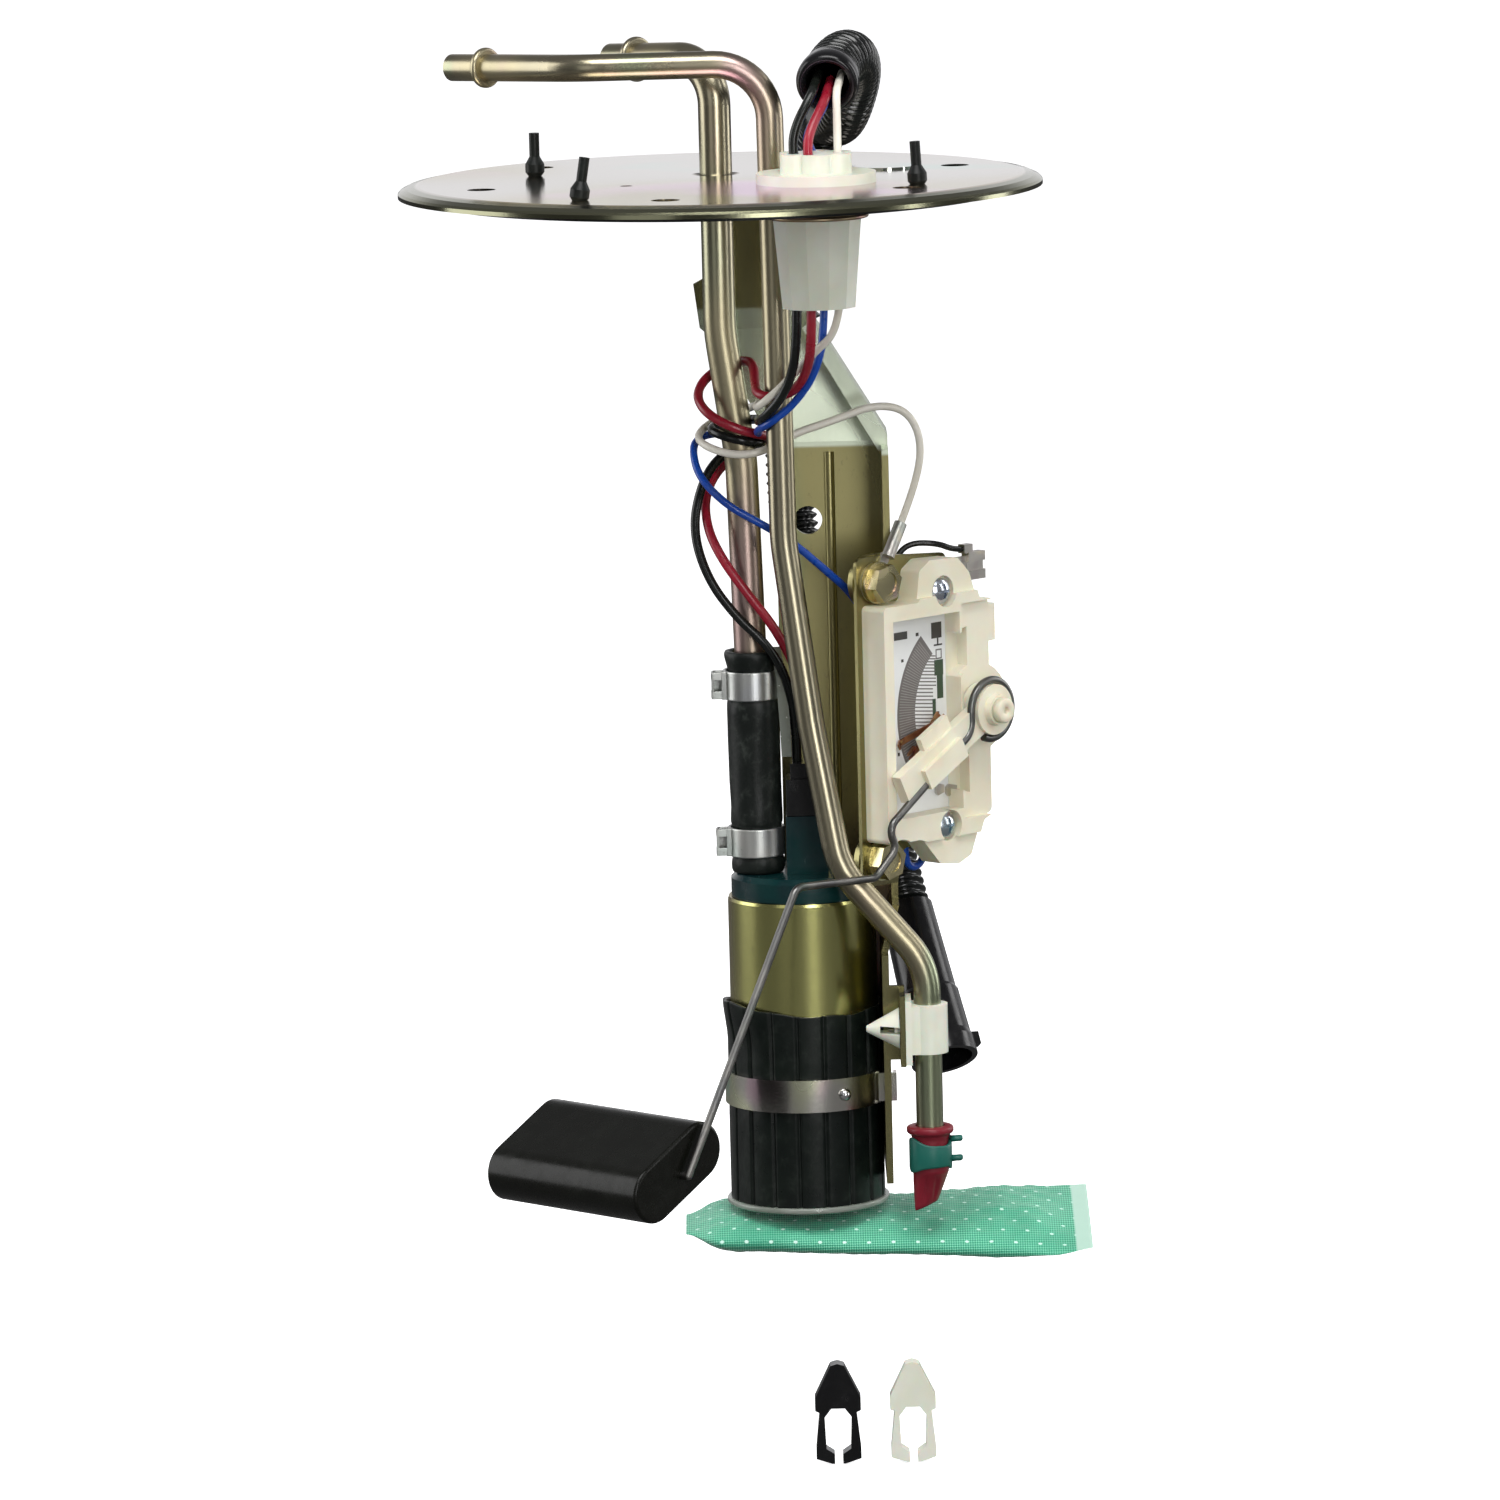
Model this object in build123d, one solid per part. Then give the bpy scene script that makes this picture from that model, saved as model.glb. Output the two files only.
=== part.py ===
from build123d import *
import math
import os

# In-tank fuel pump module: a flange plate carries two fuel tubes, an electrical
# bulkhead connector and a sheet-metal rail; the rail carries the pump, its strainer
# and the level sender with its float. Millimetres, +Z up, origin at the centre of
# the flange plate's flat underside.

os.makedirs("parts", exist_ok=True)

CLEAR = 0.05  # radial running clearance of turning and sliding pieces
GAP = 0.3  # air between a soft or curved piece and its neighbour

# Flange plate and gasket
PLATE_T = 2.0
PLATE_R = 93.5
RIM_W = 6.0
PLATE_FLAT_R = PLATE_R - RIM_W
PLATE_LIP_Z = -1.5
GASKET_T = 3.2
GASKET_IN_R = 51.5
GASKET_INSET = 4.5
GASKET_OUT_R = PLATE_FLAT_R - GASKET_INSET
BOLT_COUNT = 6
BOLT_EDGE = 11.0
BOLT_PCD = 2 * (GASKET_OUT_R - BOLT_EDGE)
BOLT_HOLE_R = 4.1
BOLT_PHASE = 17.6
VENT_HOLE_R = 1.75
VENT_X, VENT_Y = -27.0, -21.0
PAD_R = 10.0
PAD_H = 0.6
PAD_X, PAD_Y = 48.0, 21.0
NUBS = (  # distance from the middle, place round it in degrees, lean in degrees
    (GASKET_IN_R + 6.085, 159.676, 0.0), (GASKET_OUT_R - 7.528, 237.995, 9.0), (GASKET_OUT_R - 14.91, 326.076, -3.0),
)
NUB_STEM_R = 1.9
NUB_BULB_R = 2.8
NUB_BULB_H = 5.0
NUB_TAIL_R = 1.5
NUB_H = 12.6

# Fuel tubes
SUPPLY_R = 4.765
RETURN_R = 3.97
TUBE_WALL = 0.9
SUPPLY_BEAD_R = 6.65
RETURN_BEAD_R = 5.9
BEAD_T = 2.2
SUPPLY_BEAD_BACK = 10.7
RETURN_BEAD_BACK = 14.0
SUPPLY_X, SUPPLY_Y = -1.2, 12.0
RETURN_X, RETURN_Y = 14.6, -5.0
RETURN_LEAN = 1.2
TUBE_TOP = 35.2
SUPPLY_END = (-31.2, 42.0, 33.8)
RETURN_ELBOW = (-40.5, -5.0, 35.0)
RETURN_END = (-77.5, 31.5, 33.4)
SUPPLY_BEND_R = 13.0
RETURN_BEND_R = 16.0
SUPPLY_LOW_X = 6.0
SUPPLY_LOW_Z = -163.0
RETURN_LOW_X, RETURN_LOW_Y = 54.6, -12.0
RETURN_LOW_Z = -284.0
COUNTERSINK_R = 7.2

# Bulkhead connector
CONN_X, CONN_Y = 27.6, -24.2
CONN_FLANGE_R = 17.3
CONN_FLANGE_T = 3.0
CONN_LOBE_R = 4.0
CONN_LOBE_AT = 7.3
CONN_LOBE_H = 5.5
CONN_NECK_R = 12.4
CONN_TOP_R = 13.5
CONN_LOW_R = 10.85
CONN_LOW_Z = -34.0
CONN_SIDES = 12
RING_R = 14.0
RING_T = 3.8
PIN_R = 1.2
PIN_TOP = 4.0
PIN_LOW = -24.0
LEAD_R = 1.4
THIN_LEAD_R = 1.15
CAVITY_AT = 6.4
CAVITY_ANGLES = {"black": 190.0, "red": 250.0, "blue": 75.0, "white": 0.0}

# Rail of folded sheet
SHEET = 2.0
POST_Y = 43.0
POST_X0, POST_X1 = -5.0, 25.0
POST_Z = -47.0
WEB_Y = 38.0
WEB_X0, WEB_X1 = 14.0, 47.2
WEB_Z0 = -80.0
RIB_X = 30.0
RIB_R = 1.6
RAIL_HOLE_R = 4.2
RAIL_HOLE_X, RAIL_HOLE_Z = 23.4, -103.3
JOG_Z0, JOG_Z1 = -213.0, -227.0
RAIL_LOW_Z = -295.0
CHEEK_FRONT_Y = 12.0

# Pump
PUMP_X, PUMP_Y = 18.7, 14.0
CAN_R = 21.75
CAN_WALL = 1.6
CAN_TOP = -212.0
CAN_LOW = -299.0
CAP_R = 20.6
CAP_TOP = CAN_TOP + 8.0
NIPPLE_R = 4.3
NIPPLE_TOP = CAP_TOP + 18.0
SLEEVE_R = 22.8
SLEEVE_TOP = -243.4
SLEEVE_LOW = -298.6
SLEEVE_GROOVES = 18
STRAP_R = 23.9
STRAP_Z, STRAP_H = -267.8, 9.6
BASE_RING_R = 23.4
BASE_RING_TOP = -299.0
BASE_RING_LOW = -303.0
SHAFT_R = 2.0
ROTOR_R = 13.6
MAGNET_T = 4.6
IMPELLER_R = 16.5
BRUSH_Z = -227.0
BUSH_R = 4.0
PLUG_LEADS_X = (18.4, 23.0)

# Fuel hose
HOSE_R = 7.4
HOSE_TOP = -138.5
HOSE_LOW = -204.0
HOSE_BORE_R = 3.4
CLAMP_T = 0.9
CLAMP_W = 8.6
CLAMP_INSET = 9.5
CLAMP_HIGH_Z = HOSE_TOP - CLAMP_INSET
CLAMP_LOW_Z = HOSE_LOW + CLAMP_INSET

# Level sender: a plane turned from the front, with its own x along the card,
# its own y up and its own z out of the plate
SENDER_TURN = 46.0
SENDER_X, SENDER_Y = 41.2, 5.1
SENDER_BOLT_Z0, SENDER_BOLT_Z1 = -118.0, -200.0
SENDER_SCREW_X, SENDER_SCREW_Z0, SENDER_SCREW_Z1 = 21.5, -122.5, -192.0
HUB_X, HUB_Z = 36.0, -158.8
ARM_TRAVEL = 75.0
ARM_WIRE_R = 1.15
FINGER_REACH = 30.0
SWEEP_R = 25.0
SWEEP_FLOOR = 4.1
ARM_PLANE = 13.5
PLATE_SENDER_T = 1.2
HOUSING_FRONT = 10.0
HOUSING_EDGE = -5.6
CARD_SEAT = 3.2
CARD_T = 0.8
CARD_X0, CARD_X1 = -1.7, 27.0
CARD_Z0, CARD_Z1 = -187.5, -129.0
BOSS_R = 13.4
BOSS_FRONT = 8.0
POST_R = 3.0
ARM_ANGLE = 207.0
CARRIER_BACK = 10.4
CARRIER_FRONT = 13.9
LOOP_R = 8.7
BOLT_HEAD_ACROSS = 10.0
RELIEF = 0.05
HOUSING_OUTLINE = [
    (HOUSING_EDGE, -194.5), (HOUSING_EDGE, -124.5), (10, -124.5), (11.5, -115.5), (16, -112.8), (28, -113.2),
    (33, -118), (36, -126), (41.5, -126.5), (41.5, -190), (36, -192), (31.5, -202), (26, -204), (18, -203),
    (11, -195.5), (8, -194.5),
]
RING_T_LUG = 0.8
BARREL_LOW, BARREL_TOP = (4.2, -110.8, 3.0), (10.0, -101.5, 3.0)
BARREL_R = 1.9
JUMPER_R = 0.9

# Float
FLOAT_L = 60.0
FLOAT_W = 38.0
FLOAT_T = 17.0
FLOAT_TILT = 27.5
FLOAT_X, FLOAT_Z = -98.0, -277.0

# Strainer
SOCK_X0, SOCK_X1 = -18.0, 102.0
SOCK_Y0, SOCK_Y1 = -11.0, 39.0
SOCK_T = 11.0
SOCK_Z = -309.5
SOCK_SKIN = 0.9
SOCK_CORNER_R = 9.0
SOCK_BARS = 7
SPIGOT_R = 5.0
SPIGOT_BORE_R = 2.6
SPIGOT_H = 2.5
SPIGOT_AT = 9.0  # from the pump's axis

# Free harness
LOOM_START = (32.0, -16.0, 31.0)
LOOM_ROUTE = [
    LOOM_START, (34.5, 16.0, 38.5), (37.5, 52.0, 42.0), (40.5, 86.0, 36.0), (43.0, 108.0, 10.0), (41.5, 113.0, -28.0),
    (37.5, 110.5, -72.0), (35.0, 103.0, -116.0), (37.0, 91.0, -156.0), (43.6, 76.0, -195.5), (50.3, 58.0, -223.6),
]
LEADS = {"black": (-3.2, -0.4), "red": (-0.2, -3.4), "blue": (0.2, 3.0), "white": (3.4, 0.2)}
LEAD_RISE = {"black": 1.0, "red": 0.0, "blue": 5.0, "white": 2.0}
LOOM_R = 7.9
PLUG_R = 10.1
PLUG_L = 50.5
PLUG_NECK_R = 7.75
PLUG_FLOOR = 31.0
PLUG_KEY_ANGLE = 250.0


def turned(*points):
    """A solid of revolution about Z from an outline of (radius, height) points."""
    return revolve(Plane.XZ * make_face(Polyline(*points, close=True)), axis=Axis.Z)


def disc(radius, low, high, x=0.0, y=0.0):
    """A round disc or rod between two heights."""
    return Pos(x, y, (low + high) / 2) * Cylinder(radius, high - low)


def tube(r_out, r_in, low, high, x=0.0, y=0.0):
    """A plain ring or sleeve between two heights."""
    return disc(r_out, low, high, x, y) - disc(r_in, low - 1, high + 1, x, y)


def block(x0, x1, y0, y1, z0, z1):
    """A rectangular block between two corners."""
    return Pos((x0 + x1) / 2, (y0 + y1) / 2, (z0 + z1) / 2) * Box(x1 - x0, y1 - y0, z1 - z0)


def rod(path, radius, bore=0.0):
    """A round bar or tube swept along a path."""
    section = Circle(radius) - Circle(bore) if bore else Circle(radius)
    return sweep(Plane(origin=path @ 0, z_dir=path % 0) * section, path=path)


def bent(points, radii):
    """Straight runs joined by tangent arcs."""
    return FilletPolyline(*points, radius=radii)


def cord_path(name, points):
    """A loose lead's route: each arc is as large as its two runs allow."""
    spots = [Vector(*p) for p in points]
    radii = []
    for before, here, after in zip(spots, spots[1:], spots[2:]):
        turn = math.radians((here - before).get_angle(after - here))
        shorter = min((here - before).length, (after - here).length)
        radii.append(0.45 * shorter / math.tan(turn / 2))
    print(name, "arc radii", [round(r, 1) for r in radii])
    return FilletPolyline(*points, radius=radii)


def polar(radius, degrees, x=0.0, y=0.0):
    angle = math.radians(degrees)
    return x + radius * math.cos(angle), y + radius * math.sin(angle)


def spin(angle_deg, shape, x=0.0, y=0.0):
    return Pos(x, y, 0) * Rot(0, 0, angle_deg) * shape


BOLT_ANGLES = [BOLT_PHASE + i * 360 / BOLT_COUNT for i in range(BOLT_COUNT)]
SENDER = Plane(
    origin=(SENDER_X, SENDER_Y, 0),
    x_dir=(math.cos(math.radians(SENDER_TURN)), math.sin(math.radians(SENDER_TURN)), 0),
    z_dir=(math.sin(math.radians(SENDER_TURN)), -math.cos(math.radians(SENDER_TURN)), 0),
)
CAVITIES = {c: polar(CAVITY_AT, a, CONN_X, CONN_Y) for c, a in CAVITY_ANGLES.items()}


# ---------------------------------------------------------------- flange and tubes


def flange_plate():
    rim = PLATE_R - 1.7
    plate = turned(
        (0, 0), (0, PLATE_T), (PLATE_FLAT_R, PLATE_T), (PLATE_FLAT_R + 3.6, PLATE_T - 0.7),
        (PLATE_R - 0.6, PLATE_T - 1.6), (PLATE_R, PLATE_T - 2.3), (PLATE_R, PLATE_LIP_Z),
        (rim, PLATE_LIP_Z), (rim, PLATE_T - 2.9), (PLATE_FLAT_R + 2.6, PLATE_T - 2.6), (PLATE_FLAT_R, 0),
    )
    plate += disc(PAD_R, PLATE_T - 0.1, PLATE_T + PAD_H, PAD_X, PAD_Y)
    for angle in BOLT_ANGLES:
        plate -= disc(BOLT_HOLE_R, -9, 9, *polar(BOLT_PCD / 2, angle))
    plate -= disc(VENT_HOLE_R, -9, 9, VENT_X, VENT_Y)
    plate -= disc(SUPPLY_R, -9, 9, SUPPLY_X, SUPPLY_Y)
    funnel = turned((0, PLATE_T + 1), (COUNTERSINK_R, PLATE_T + 1), (COUNTERSINK_R, PLATE_T), (SUPPLY_R, 1.0), (0, 1.0))
    plate -= Pos(SUPPLY_X, SUPPLY_Y, 0) * funnel
    plate -= rod(Line((RETURN_X, RETURN_Y, TUBE_TOP), (RETURN_X + RETURN_LEAN, RETURN_Y, -104)), RETURN_R)
    plate -= disc(CONN_NECK_R + CLEAR, -9, 9, CONN_X, CONN_Y)
    for reach, place, _ in NUBS:
        plate -= disc(NUB_STEM_R, -9, 9, *polar(reach, place))
    return plate


def gasket_nub(x, y, lean):
    """A moulded peg pulled up through the plate: stem, bulb and a thin pulling tail."""
    stem = disc(NUB_STEM_R, -0.5, PLATE_T)
    bulb = turned(
        (0, 0), (NUB_STEM_R, 0), (NUB_BULB_R, 1.2), (NUB_BULB_R, NUB_BULB_H - 1.5),
        (NUB_TAIL_R, NUB_BULB_H + 0.8), (NUB_TAIL_R, NUB_H), (0, NUB_H),
    )
    return Pos(x, y, 0) * (stem + Pos(0, 0, PLATE_T) * Rot(0, lean, 0) * Pos(0, 0, -0.3 if lean else 0) * bulb)


def flange_gasket():
    ring = tube(GASKET_OUT_R, GASKET_IN_R, -GASKET_T, 0)
    for angle in BOLT_ANGLES:
        ring -= disc(BOLT_HOLE_R, -9, 9, *polar(BOLT_PCD / 2, angle))
    for reach, place, lean in NUBS:
        x, y = polar(reach, place)
        ring += gasket_nub(x, y, lean) - tube(9, NUB_STEM_R, 0, PLATE_T, x, y)
    return ring


def bead(path, back, bead_r):
    """The rolled stop ring that a push-on connector latches behind."""
    along = (path % 0).normalized()
    centre = (path @ 0) + along * back
    ring = Cylinder(bead_r, BEAD_T)
    return Plane(origin=centre, z_dir=along) * fillet(ring.edges().filter_by(GeomType.CIRCLE), 0.42 * BEAD_T)


def supply_tube():
    path = supply_path()
    bore = SUPPLY_R - TUBE_WALL
    ring = bead(path, SUPPLY_BEAD_BACK, SUPPLY_BEAD_R) - Plane(origin=path @ 0, z_dir=path % 0) * Cylinder(bore, 60)
    return rod(path, SUPPLY_R, bore) + ring


def return_path():
    return bent(
        [
            RETURN_END,
            RETURN_ELBOW,
            (RETURN_X, RETURN_Y, TUBE_TOP),
            (RETURN_X + RETURN_LEAN, RETURN_Y, -104),
            (22.6, -7.5, -158),
            (29.8, -10.5, -200),
            (RETURN_LOW_X, RETURN_LOW_Y, -229),
            (RETURN_LOW_X, RETURN_LOW_Y, RETURN_LOW_Z),
        ],
        [20, RETURN_BEND_R, 60, 80, 25, 22],
    )


def return_tube():
    path = return_path()
    bore = RETURN_R - TUBE_WALL
    ring = bead(path, RETURN_BEAD_BACK, RETURN_BEAD_R) - Plane(origin=path @ 0, z_dir=path % 0) * Cylinder(bore, 60)
    return rod(path, RETURN_R, bore) + ring


# ---------------------------------------------------------------- bulkhead connector


def connector_body():
    top = PLATE_T + CONN_FLANGE_T
    body = disc(CONN_FLANGE_R, PLATE_T, top) + disc(CONN_NECK_R, -RING_T, PLATE_T + 1)
    body += disc(CONN_LOBE_AT + 1.3, top - 1, top + CONN_LOBE_H)
    for i in range(6):
        body += disc(CONN_LOBE_R, top - 1, top + CONN_LOBE_H, *polar(CONN_LOBE_AT, 30 + 60 * i))
    body += loft(
        [
            Pos(0, 0, -RING_T) * RegularPolygon(CONN_TOP_R, CONN_SIDES, rotation=15),
            Pos(0, 0, CONN_LOW_Z) * RegularPolygon(CONN_LOW_R, CONN_SIDES, rotation=15),
        ]
    )
    for name, angle in CAVITY_ANGLES.items():
        x, y = polar(CAVITY_AT, angle)
        lead = LEAD_R if name in ("black", "red") else THIN_LEAD_R
        body -= disc(PIN_R, -99, 99, x, y)
        body -= disc(lead + GAP, CONN_LOW_Z - 1, PIN_LOW, x, y)
        body -= disc(lead + GAP, PIN_TOP, 99, x, y)
    return Pos(CONN_X, CONN_Y, 0) * body


def connector_ring():
    rim = tube(RING_R, CONN_NECK_R + CLEAR, -RING_T, 0)
    rim = fillet(rim.edges().filter_by(GeomType.CIRCLE).sort_by(SortBy.RADIUS)[-2:].sort_by(Axis.Z)[0], 0.8)
    return Pos(CONN_X, CONN_Y, 0) * rim


def connector_pins():
    pins = [disc(PIN_R, PIN_LOW, PIN_TOP, *CAVITIES[c]) for c in CAVITIES]
    return Compound(children=pins)


# ---------------------------------------------------------------- rail


def side_outline(points, y0, y1):
    """An outline of (x, z) points with a depth from y0 to y1."""
    return extrude(Plane.XZ.offset(-y0) * make_face(Polyline(*points, close=True)), -(y1 - y0))


def bracket_rail():
    post_front, post_back = POST_Y - SHEET / 2, POST_Y + SHEET / 2
    web_front, web_back = WEB_Y - SHEET / 2, WEB_Y + SHEET / 2
    cheek_x = WEB_X1 - SHEET
    low_cheek = PUMP_X + SLEEVE_R + 0.2
    rail = block(POST_X0, POST_X1, post_front, post_back, POST_Z, 0)
    rail += block(POST_X0 + 2, POST_X1 - 2, post_front - 9, post_back, -SHEET, 0)
    rail += side_outline([(POST_X0, -31), (-8.8, -33), (-7.2, -46), (POST_X0, -48)], post_front, post_back)
    # the sloping part between post and web
    slope = extrude(
        Plane.YZ.offset(POST_X0 - 5)
        * make_face(
            Polyline(
                (post_front, POST_Z + 0.5), (post_back, POST_Z + 0.5), (web_back, WEB_Z0 - 0.5),
                (web_front, WEB_Z0 - 0.5), close=True,
            )
        ),
        WEB_X1 - POST_X0 + 10,
    )
    spread = [(POST_X0, POST_Z + 1), (POST_X1, POST_Z + 1), (WEB_X1, WEB_Z0 + 2), (WEB_X1, WEB_Z0 - 1), (WEB_X0, WEB_Z0 - 1)]
    rail += slope & side_outline(spread, web_front - 5, post_back + 5)
    # web with its stiffening rib, tooling hole and the inward jog beside the pump
    rail += side_outline(
        [
            (WEB_X0, WEB_Z0), (WEB_X1, WEB_Z0), (WEB_X1, JOG_Z0), (low_cheek + SHEET, JOG_Z1),
            (low_cheek + SHEET, RAIL_LOW_Z), (WEB_X0, RAIL_LOW_Z),
        ],
        web_front, web_back,
    )
    rail += Pos(RIB_X, web_front + 0.5, (WEB_Z0 - 3 - 204) / 2) * Cylinder(RIB_R, 204 + WEB_Z0 - 3)
    rail -= Pos(RAIL_HOLE_X, WEB_Y, RAIL_HOLE_Z) * Rot(90, 0, 0) * Cylinder(RAIL_HOLE_R, 20)
    # cheek folded towards the front along the right edge
    rail += side_outline([(POST_X1 - 2, -45), (POST_X1 + 1, -42), (WEB_X1, -77), (WEB_X1, -83), (cheek_x, -83)], 24, POST_Y)
    rail += block(cheek_x, WEB_X1, CHEEK_FRONT_Y, web_back, JOG_Z0, WEB_Z0)
    rail -= block(cheek_x - 1, WEB_X1 + 1, CHEEK_FRONT_Y - 1, CHEEK_FRONT_Y + 9, -187, -131)  # lead notch
    rail += side_outline(
        [(cheek_x, JOG_Z0), (WEB_X1, JOG_Z0), (low_cheek + SHEET, JOG_Z1), (low_cheek, JOG_Z1)], 0, web_back
    )
    rail += block(low_cheek, low_cheek + SHEET, -6, web_back, RAIL_LOW_Z, JOG_Z1)
    # two ears folded square to the sender, each with a threaded bolt hole
    for z in (SENDER_BOLT_Z0, SENDER_BOLT_Z1):
        ear = Pos(4.4, z, -SHEET / 2) * Box(8.8, 16, SHEET) + Pos(0, z, -SHEET / 2) * Cylinder(8, SHEET)
        rail += SENDER * (ear - Pos(0, z, 0) * Cylinder(2.5, 20))
    # lug for the return-tube clip
    lug_x = 46.4
    rail += block(low_cheek, lug_x + 1.6, -6, -4.4, -258, -236)
    rail += block(lug_x, lug_x + 1.6, -18.5, -4.4, -258, -237) - Pos(lug_x, RETURN_LOW_Y, -247.5) * Rot(0, 90, 0) * Cylinder(2.6, 9)
    # slot for the strap's hook and the pad that takes its riveted end
    rail -= block(low_cheek - 0.5, low_cheek + SHEET + 0.5, 2.6, 5.0, STRAP_Z - 4.8, STRAP_Z + 4.8)
    rail += block(5.5, WEB_X0, web_front, web_back, STRAP_Z - 7, STRAP_Z + 7)
    return rail


def pump_strap():
    inner, outer = SLEEVE_R + CLEAR, SLEEVE_R + CLEAR + 1.0
    low, high = STRAP_Z - STRAP_H / 2, STRAP_Z + STRAP_H / 2
    band = tube(outer, inner, low, high, PUMP_X, PUMP_Y)
    wedge = [(PUMP_X, PUMP_Y), (PUMP_X + 60, PUMP_Y - 26), (PUMP_X + 60, PUMP_Y + 60), (PUMP_X - 20.5, PUMP_Y + 60)]
    band -= extrude(Pos(0, 0, low - 1) * make_face(Polyline(*wedge, close=True)), STRAP_H + 2)
    web_front = WEB_Y - SHEET / 2
    band += block(6.5, 12.6, web_front - 1.0, web_front, low, high) - disc(inner, low - 1, high + 1, PUMP_X, PUMP_Y)
    hook = block(39.9, 45.4, 3.3, 4.3, low + 0.6, high - 0.6) + block(44.4, 45.4, 3.3, 8.2, low + 0.6, high - 0.6)
    return band + hook - strap_rivet()


def strap_rivet():
    """A domed rivet through the strap's lap, at the front right."""
    angle = -62.0
    x, y = polar(SLEEVE_R + CLEAR + 1.0, angle, PUMP_X, PUMP_Y)
    head = Sphere(1.9) - Pos(0, 0, -5) * Box(10, 10, 10)
    out = Plane(origin=(x, y, STRAP_Z), z_dir=(math.cos(math.radians(angle)), math.sin(math.radians(angle)), 0))
    return out * (head + Pos(0, 0, -0.45) * Cylinder(1.1, 0.9))


# ---------------------------------------------------------------- pump


def at_pump(shape):
    return Pos(PUMP_X, PUMP_Y, 0) * shape


def pump_can():
    can = tube(CAN_R, CAN_R - CAN_WALL, CAN_LOW, CAN_TOP)
    lip = turned((CAN_R - CAN_WALL, CAN_TOP - 0.5), (CAN_R, CAN_TOP - 0.5), (CAN_R - 0.3, CAN_TOP + 0.9), (CAP_R - 0.4, CAN_TOP + 0.9),
                 (CAP_R - 0.4, CAN_TOP + 0.1), (CAN_R - CAN_WALL, CAN_TOP + 0.1))
    return at_pump(can + lip)


def isolator_sleeve():
    sleeve = tube(SLEEVE_R, CAN_R + CLEAR, SLEEVE_LOW, SLEEVE_TOP)
    for i in range(SLEEVE_GROOVES):
        groove = block(SLEEVE_R - 0.5, SLEEVE_R + 1, -0.35, 0.35, SLEEVE_LOW - 1, SLEEVE_TOP + 1)
        sleeve -= Rot(0, 0, i * 360 / SLEEVE_GROOVES) * groove
    return at_pump(sleeve)


def pump_end_cap():
    """Outlet end: the top moulding with the nipple, the terminal tower and the upper bush."""
    body_r = CAN_R - CAN_WALL
    cap = disc(body_r, BRUSH_Z - 4, CAN_TOP)
    cap += turned((0, CAN_TOP - 1), (CAP_R - 0.45, CAN_TOP - 1), (CAP_R - 0.45, CAN_TOP + 1.2), (CAP_R, CAN_TOP + 1.2), (CAP_R, CAP_TOP - 1.5), (CAP_R - 1.5, CAP_TOP), (0, CAP_TOP))
    cap -= disc(CAP_R - 4.5, CAN_TOP - 20, CAN_TOP - 4)  # brush and commutator space
    for side in (0, 180):  # brush guides
        guide = block(8.4, 17, -3.4, 3.4, BRUSH_Z - 4, CAN_TOP - 3.9)
        guide -= block(8, 16.1, -2.25, 2.25, BRUSH_Z - 3.05, BRUSH_Z + 3.05)
        cap += Rot(0, 0, side) * guide
    cap -= disc(SHAFT_R + CLEAR, CAN_TOP - 20, CAP_TOP - 3) + disc(BUSH_R, CAN_TOP - 20, CAN_TOP + 2)
    nx, ny = SUPPLY_LOW_X + 0.5 - PUMP_X, SUPPLY_Y - PUMP_Y
    cap += disc(NIPPLE_R, CAP_TOP - 2, NIPPLE_TOP, nx, ny)
    for k in range(3):
        z = NIPPLE_TOP - 2.5 - 4.2 * k
        cap += Pos(nx, ny, 0) * turned((0, z - 2.2), (NIPPLE_R + 0.55, z - 2.2), (NIPPLE_R - 0.2, z + 0.6), (0, z + 0.6))
    cap -= disc(2.6, CAP_TOP - 5, CAP_TOP + 6.5, nx, ny) + disc(1.7, CAP_TOP, NIPPLE_TOP + 1, nx, ny)
    cap -= disc(1.1, CAN_TOP - 20, CAP_TOP, nx, ny)
    tower = block(14.6 - PUMP_X, 26.8 - PUMP_X, 5.6 - PUMP_Y, 19.5 - PUMP_Y, CAP_TOP - 1, -187)
    tower -= block(16.0 - PUMP_X, 25.4 - PUMP_X, 7.0 - PUMP_Y, 18.1 - PUMP_Y, -199, -180)
    return at_pump(cap + tower) - pump_terminals()


def pump_terminals():
    """Two blades pressed through the cap's top, standing in the tower for the plug."""
    return Compound(children=[block(x - 0.4, x + 0.4, 10.5, 14.5, CAP_TOP - 2.5, -190) for x in PLUG_LEADS_X])


def pump_inlet():
    """Inlet end: closes the can and holds the impeller chamber, the lower bush and the spigot."""
    body_r = CAN_R - CAN_WALL
    base = disc(body_r, CAN_LOW + 1.0, -279)
    base -= disc(IMPELLER_R + CLEAR * 4, -289, -285.4)
    base -= disc(SHAFT_R + CLEAR, -286, -270) + disc(BUSH_R, -284.5, -270)
    base -= disc(SPIGOT_BORE_R, CAN_LOW - 5, -288, -SPIGOT_AT, 0)
    base -= disc(2.2, -286, -270, 10, 0)
    return at_pump(base)


def magnets():
    outer = CAN_R - CAN_WALL
    ring = tube(outer, outer - MAGNET_T, -277, -232)
    gaps = block(-5, 5, -40, 40, -300, -200)
    return at_pump(ring - gaps)


def armature():
    core = disc(ROTOR_R, -272, -238)
    for i in range(8):
        slot = block(ROTOR_R - 5.5, ROTOR_R + 1, -1.3, 1.3, -273, -237)
        core -= Rot(0, 0, i * 45) * slot
    core += turned((SHAFT_R, -275), (8.5, -275), (10.5, -272), (SHAFT_R, -272))
    core += turned((SHAFT_R, -238), (10.5, -238), (8.5, -235), (SHAFT_R, -235))
    return at_pump(core - disc(SHAFT_R, -300, -200))


def commutator():
    drum = tube(7.0, SHAFT_R, -234.5, -222)
    for i in range(8):
        drum -= Rot(0, 0, 22.5 + i * 45) * block(6.2, 8, -0.25, 0.25, -240, -220)
    return at_pump(drum)


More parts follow.
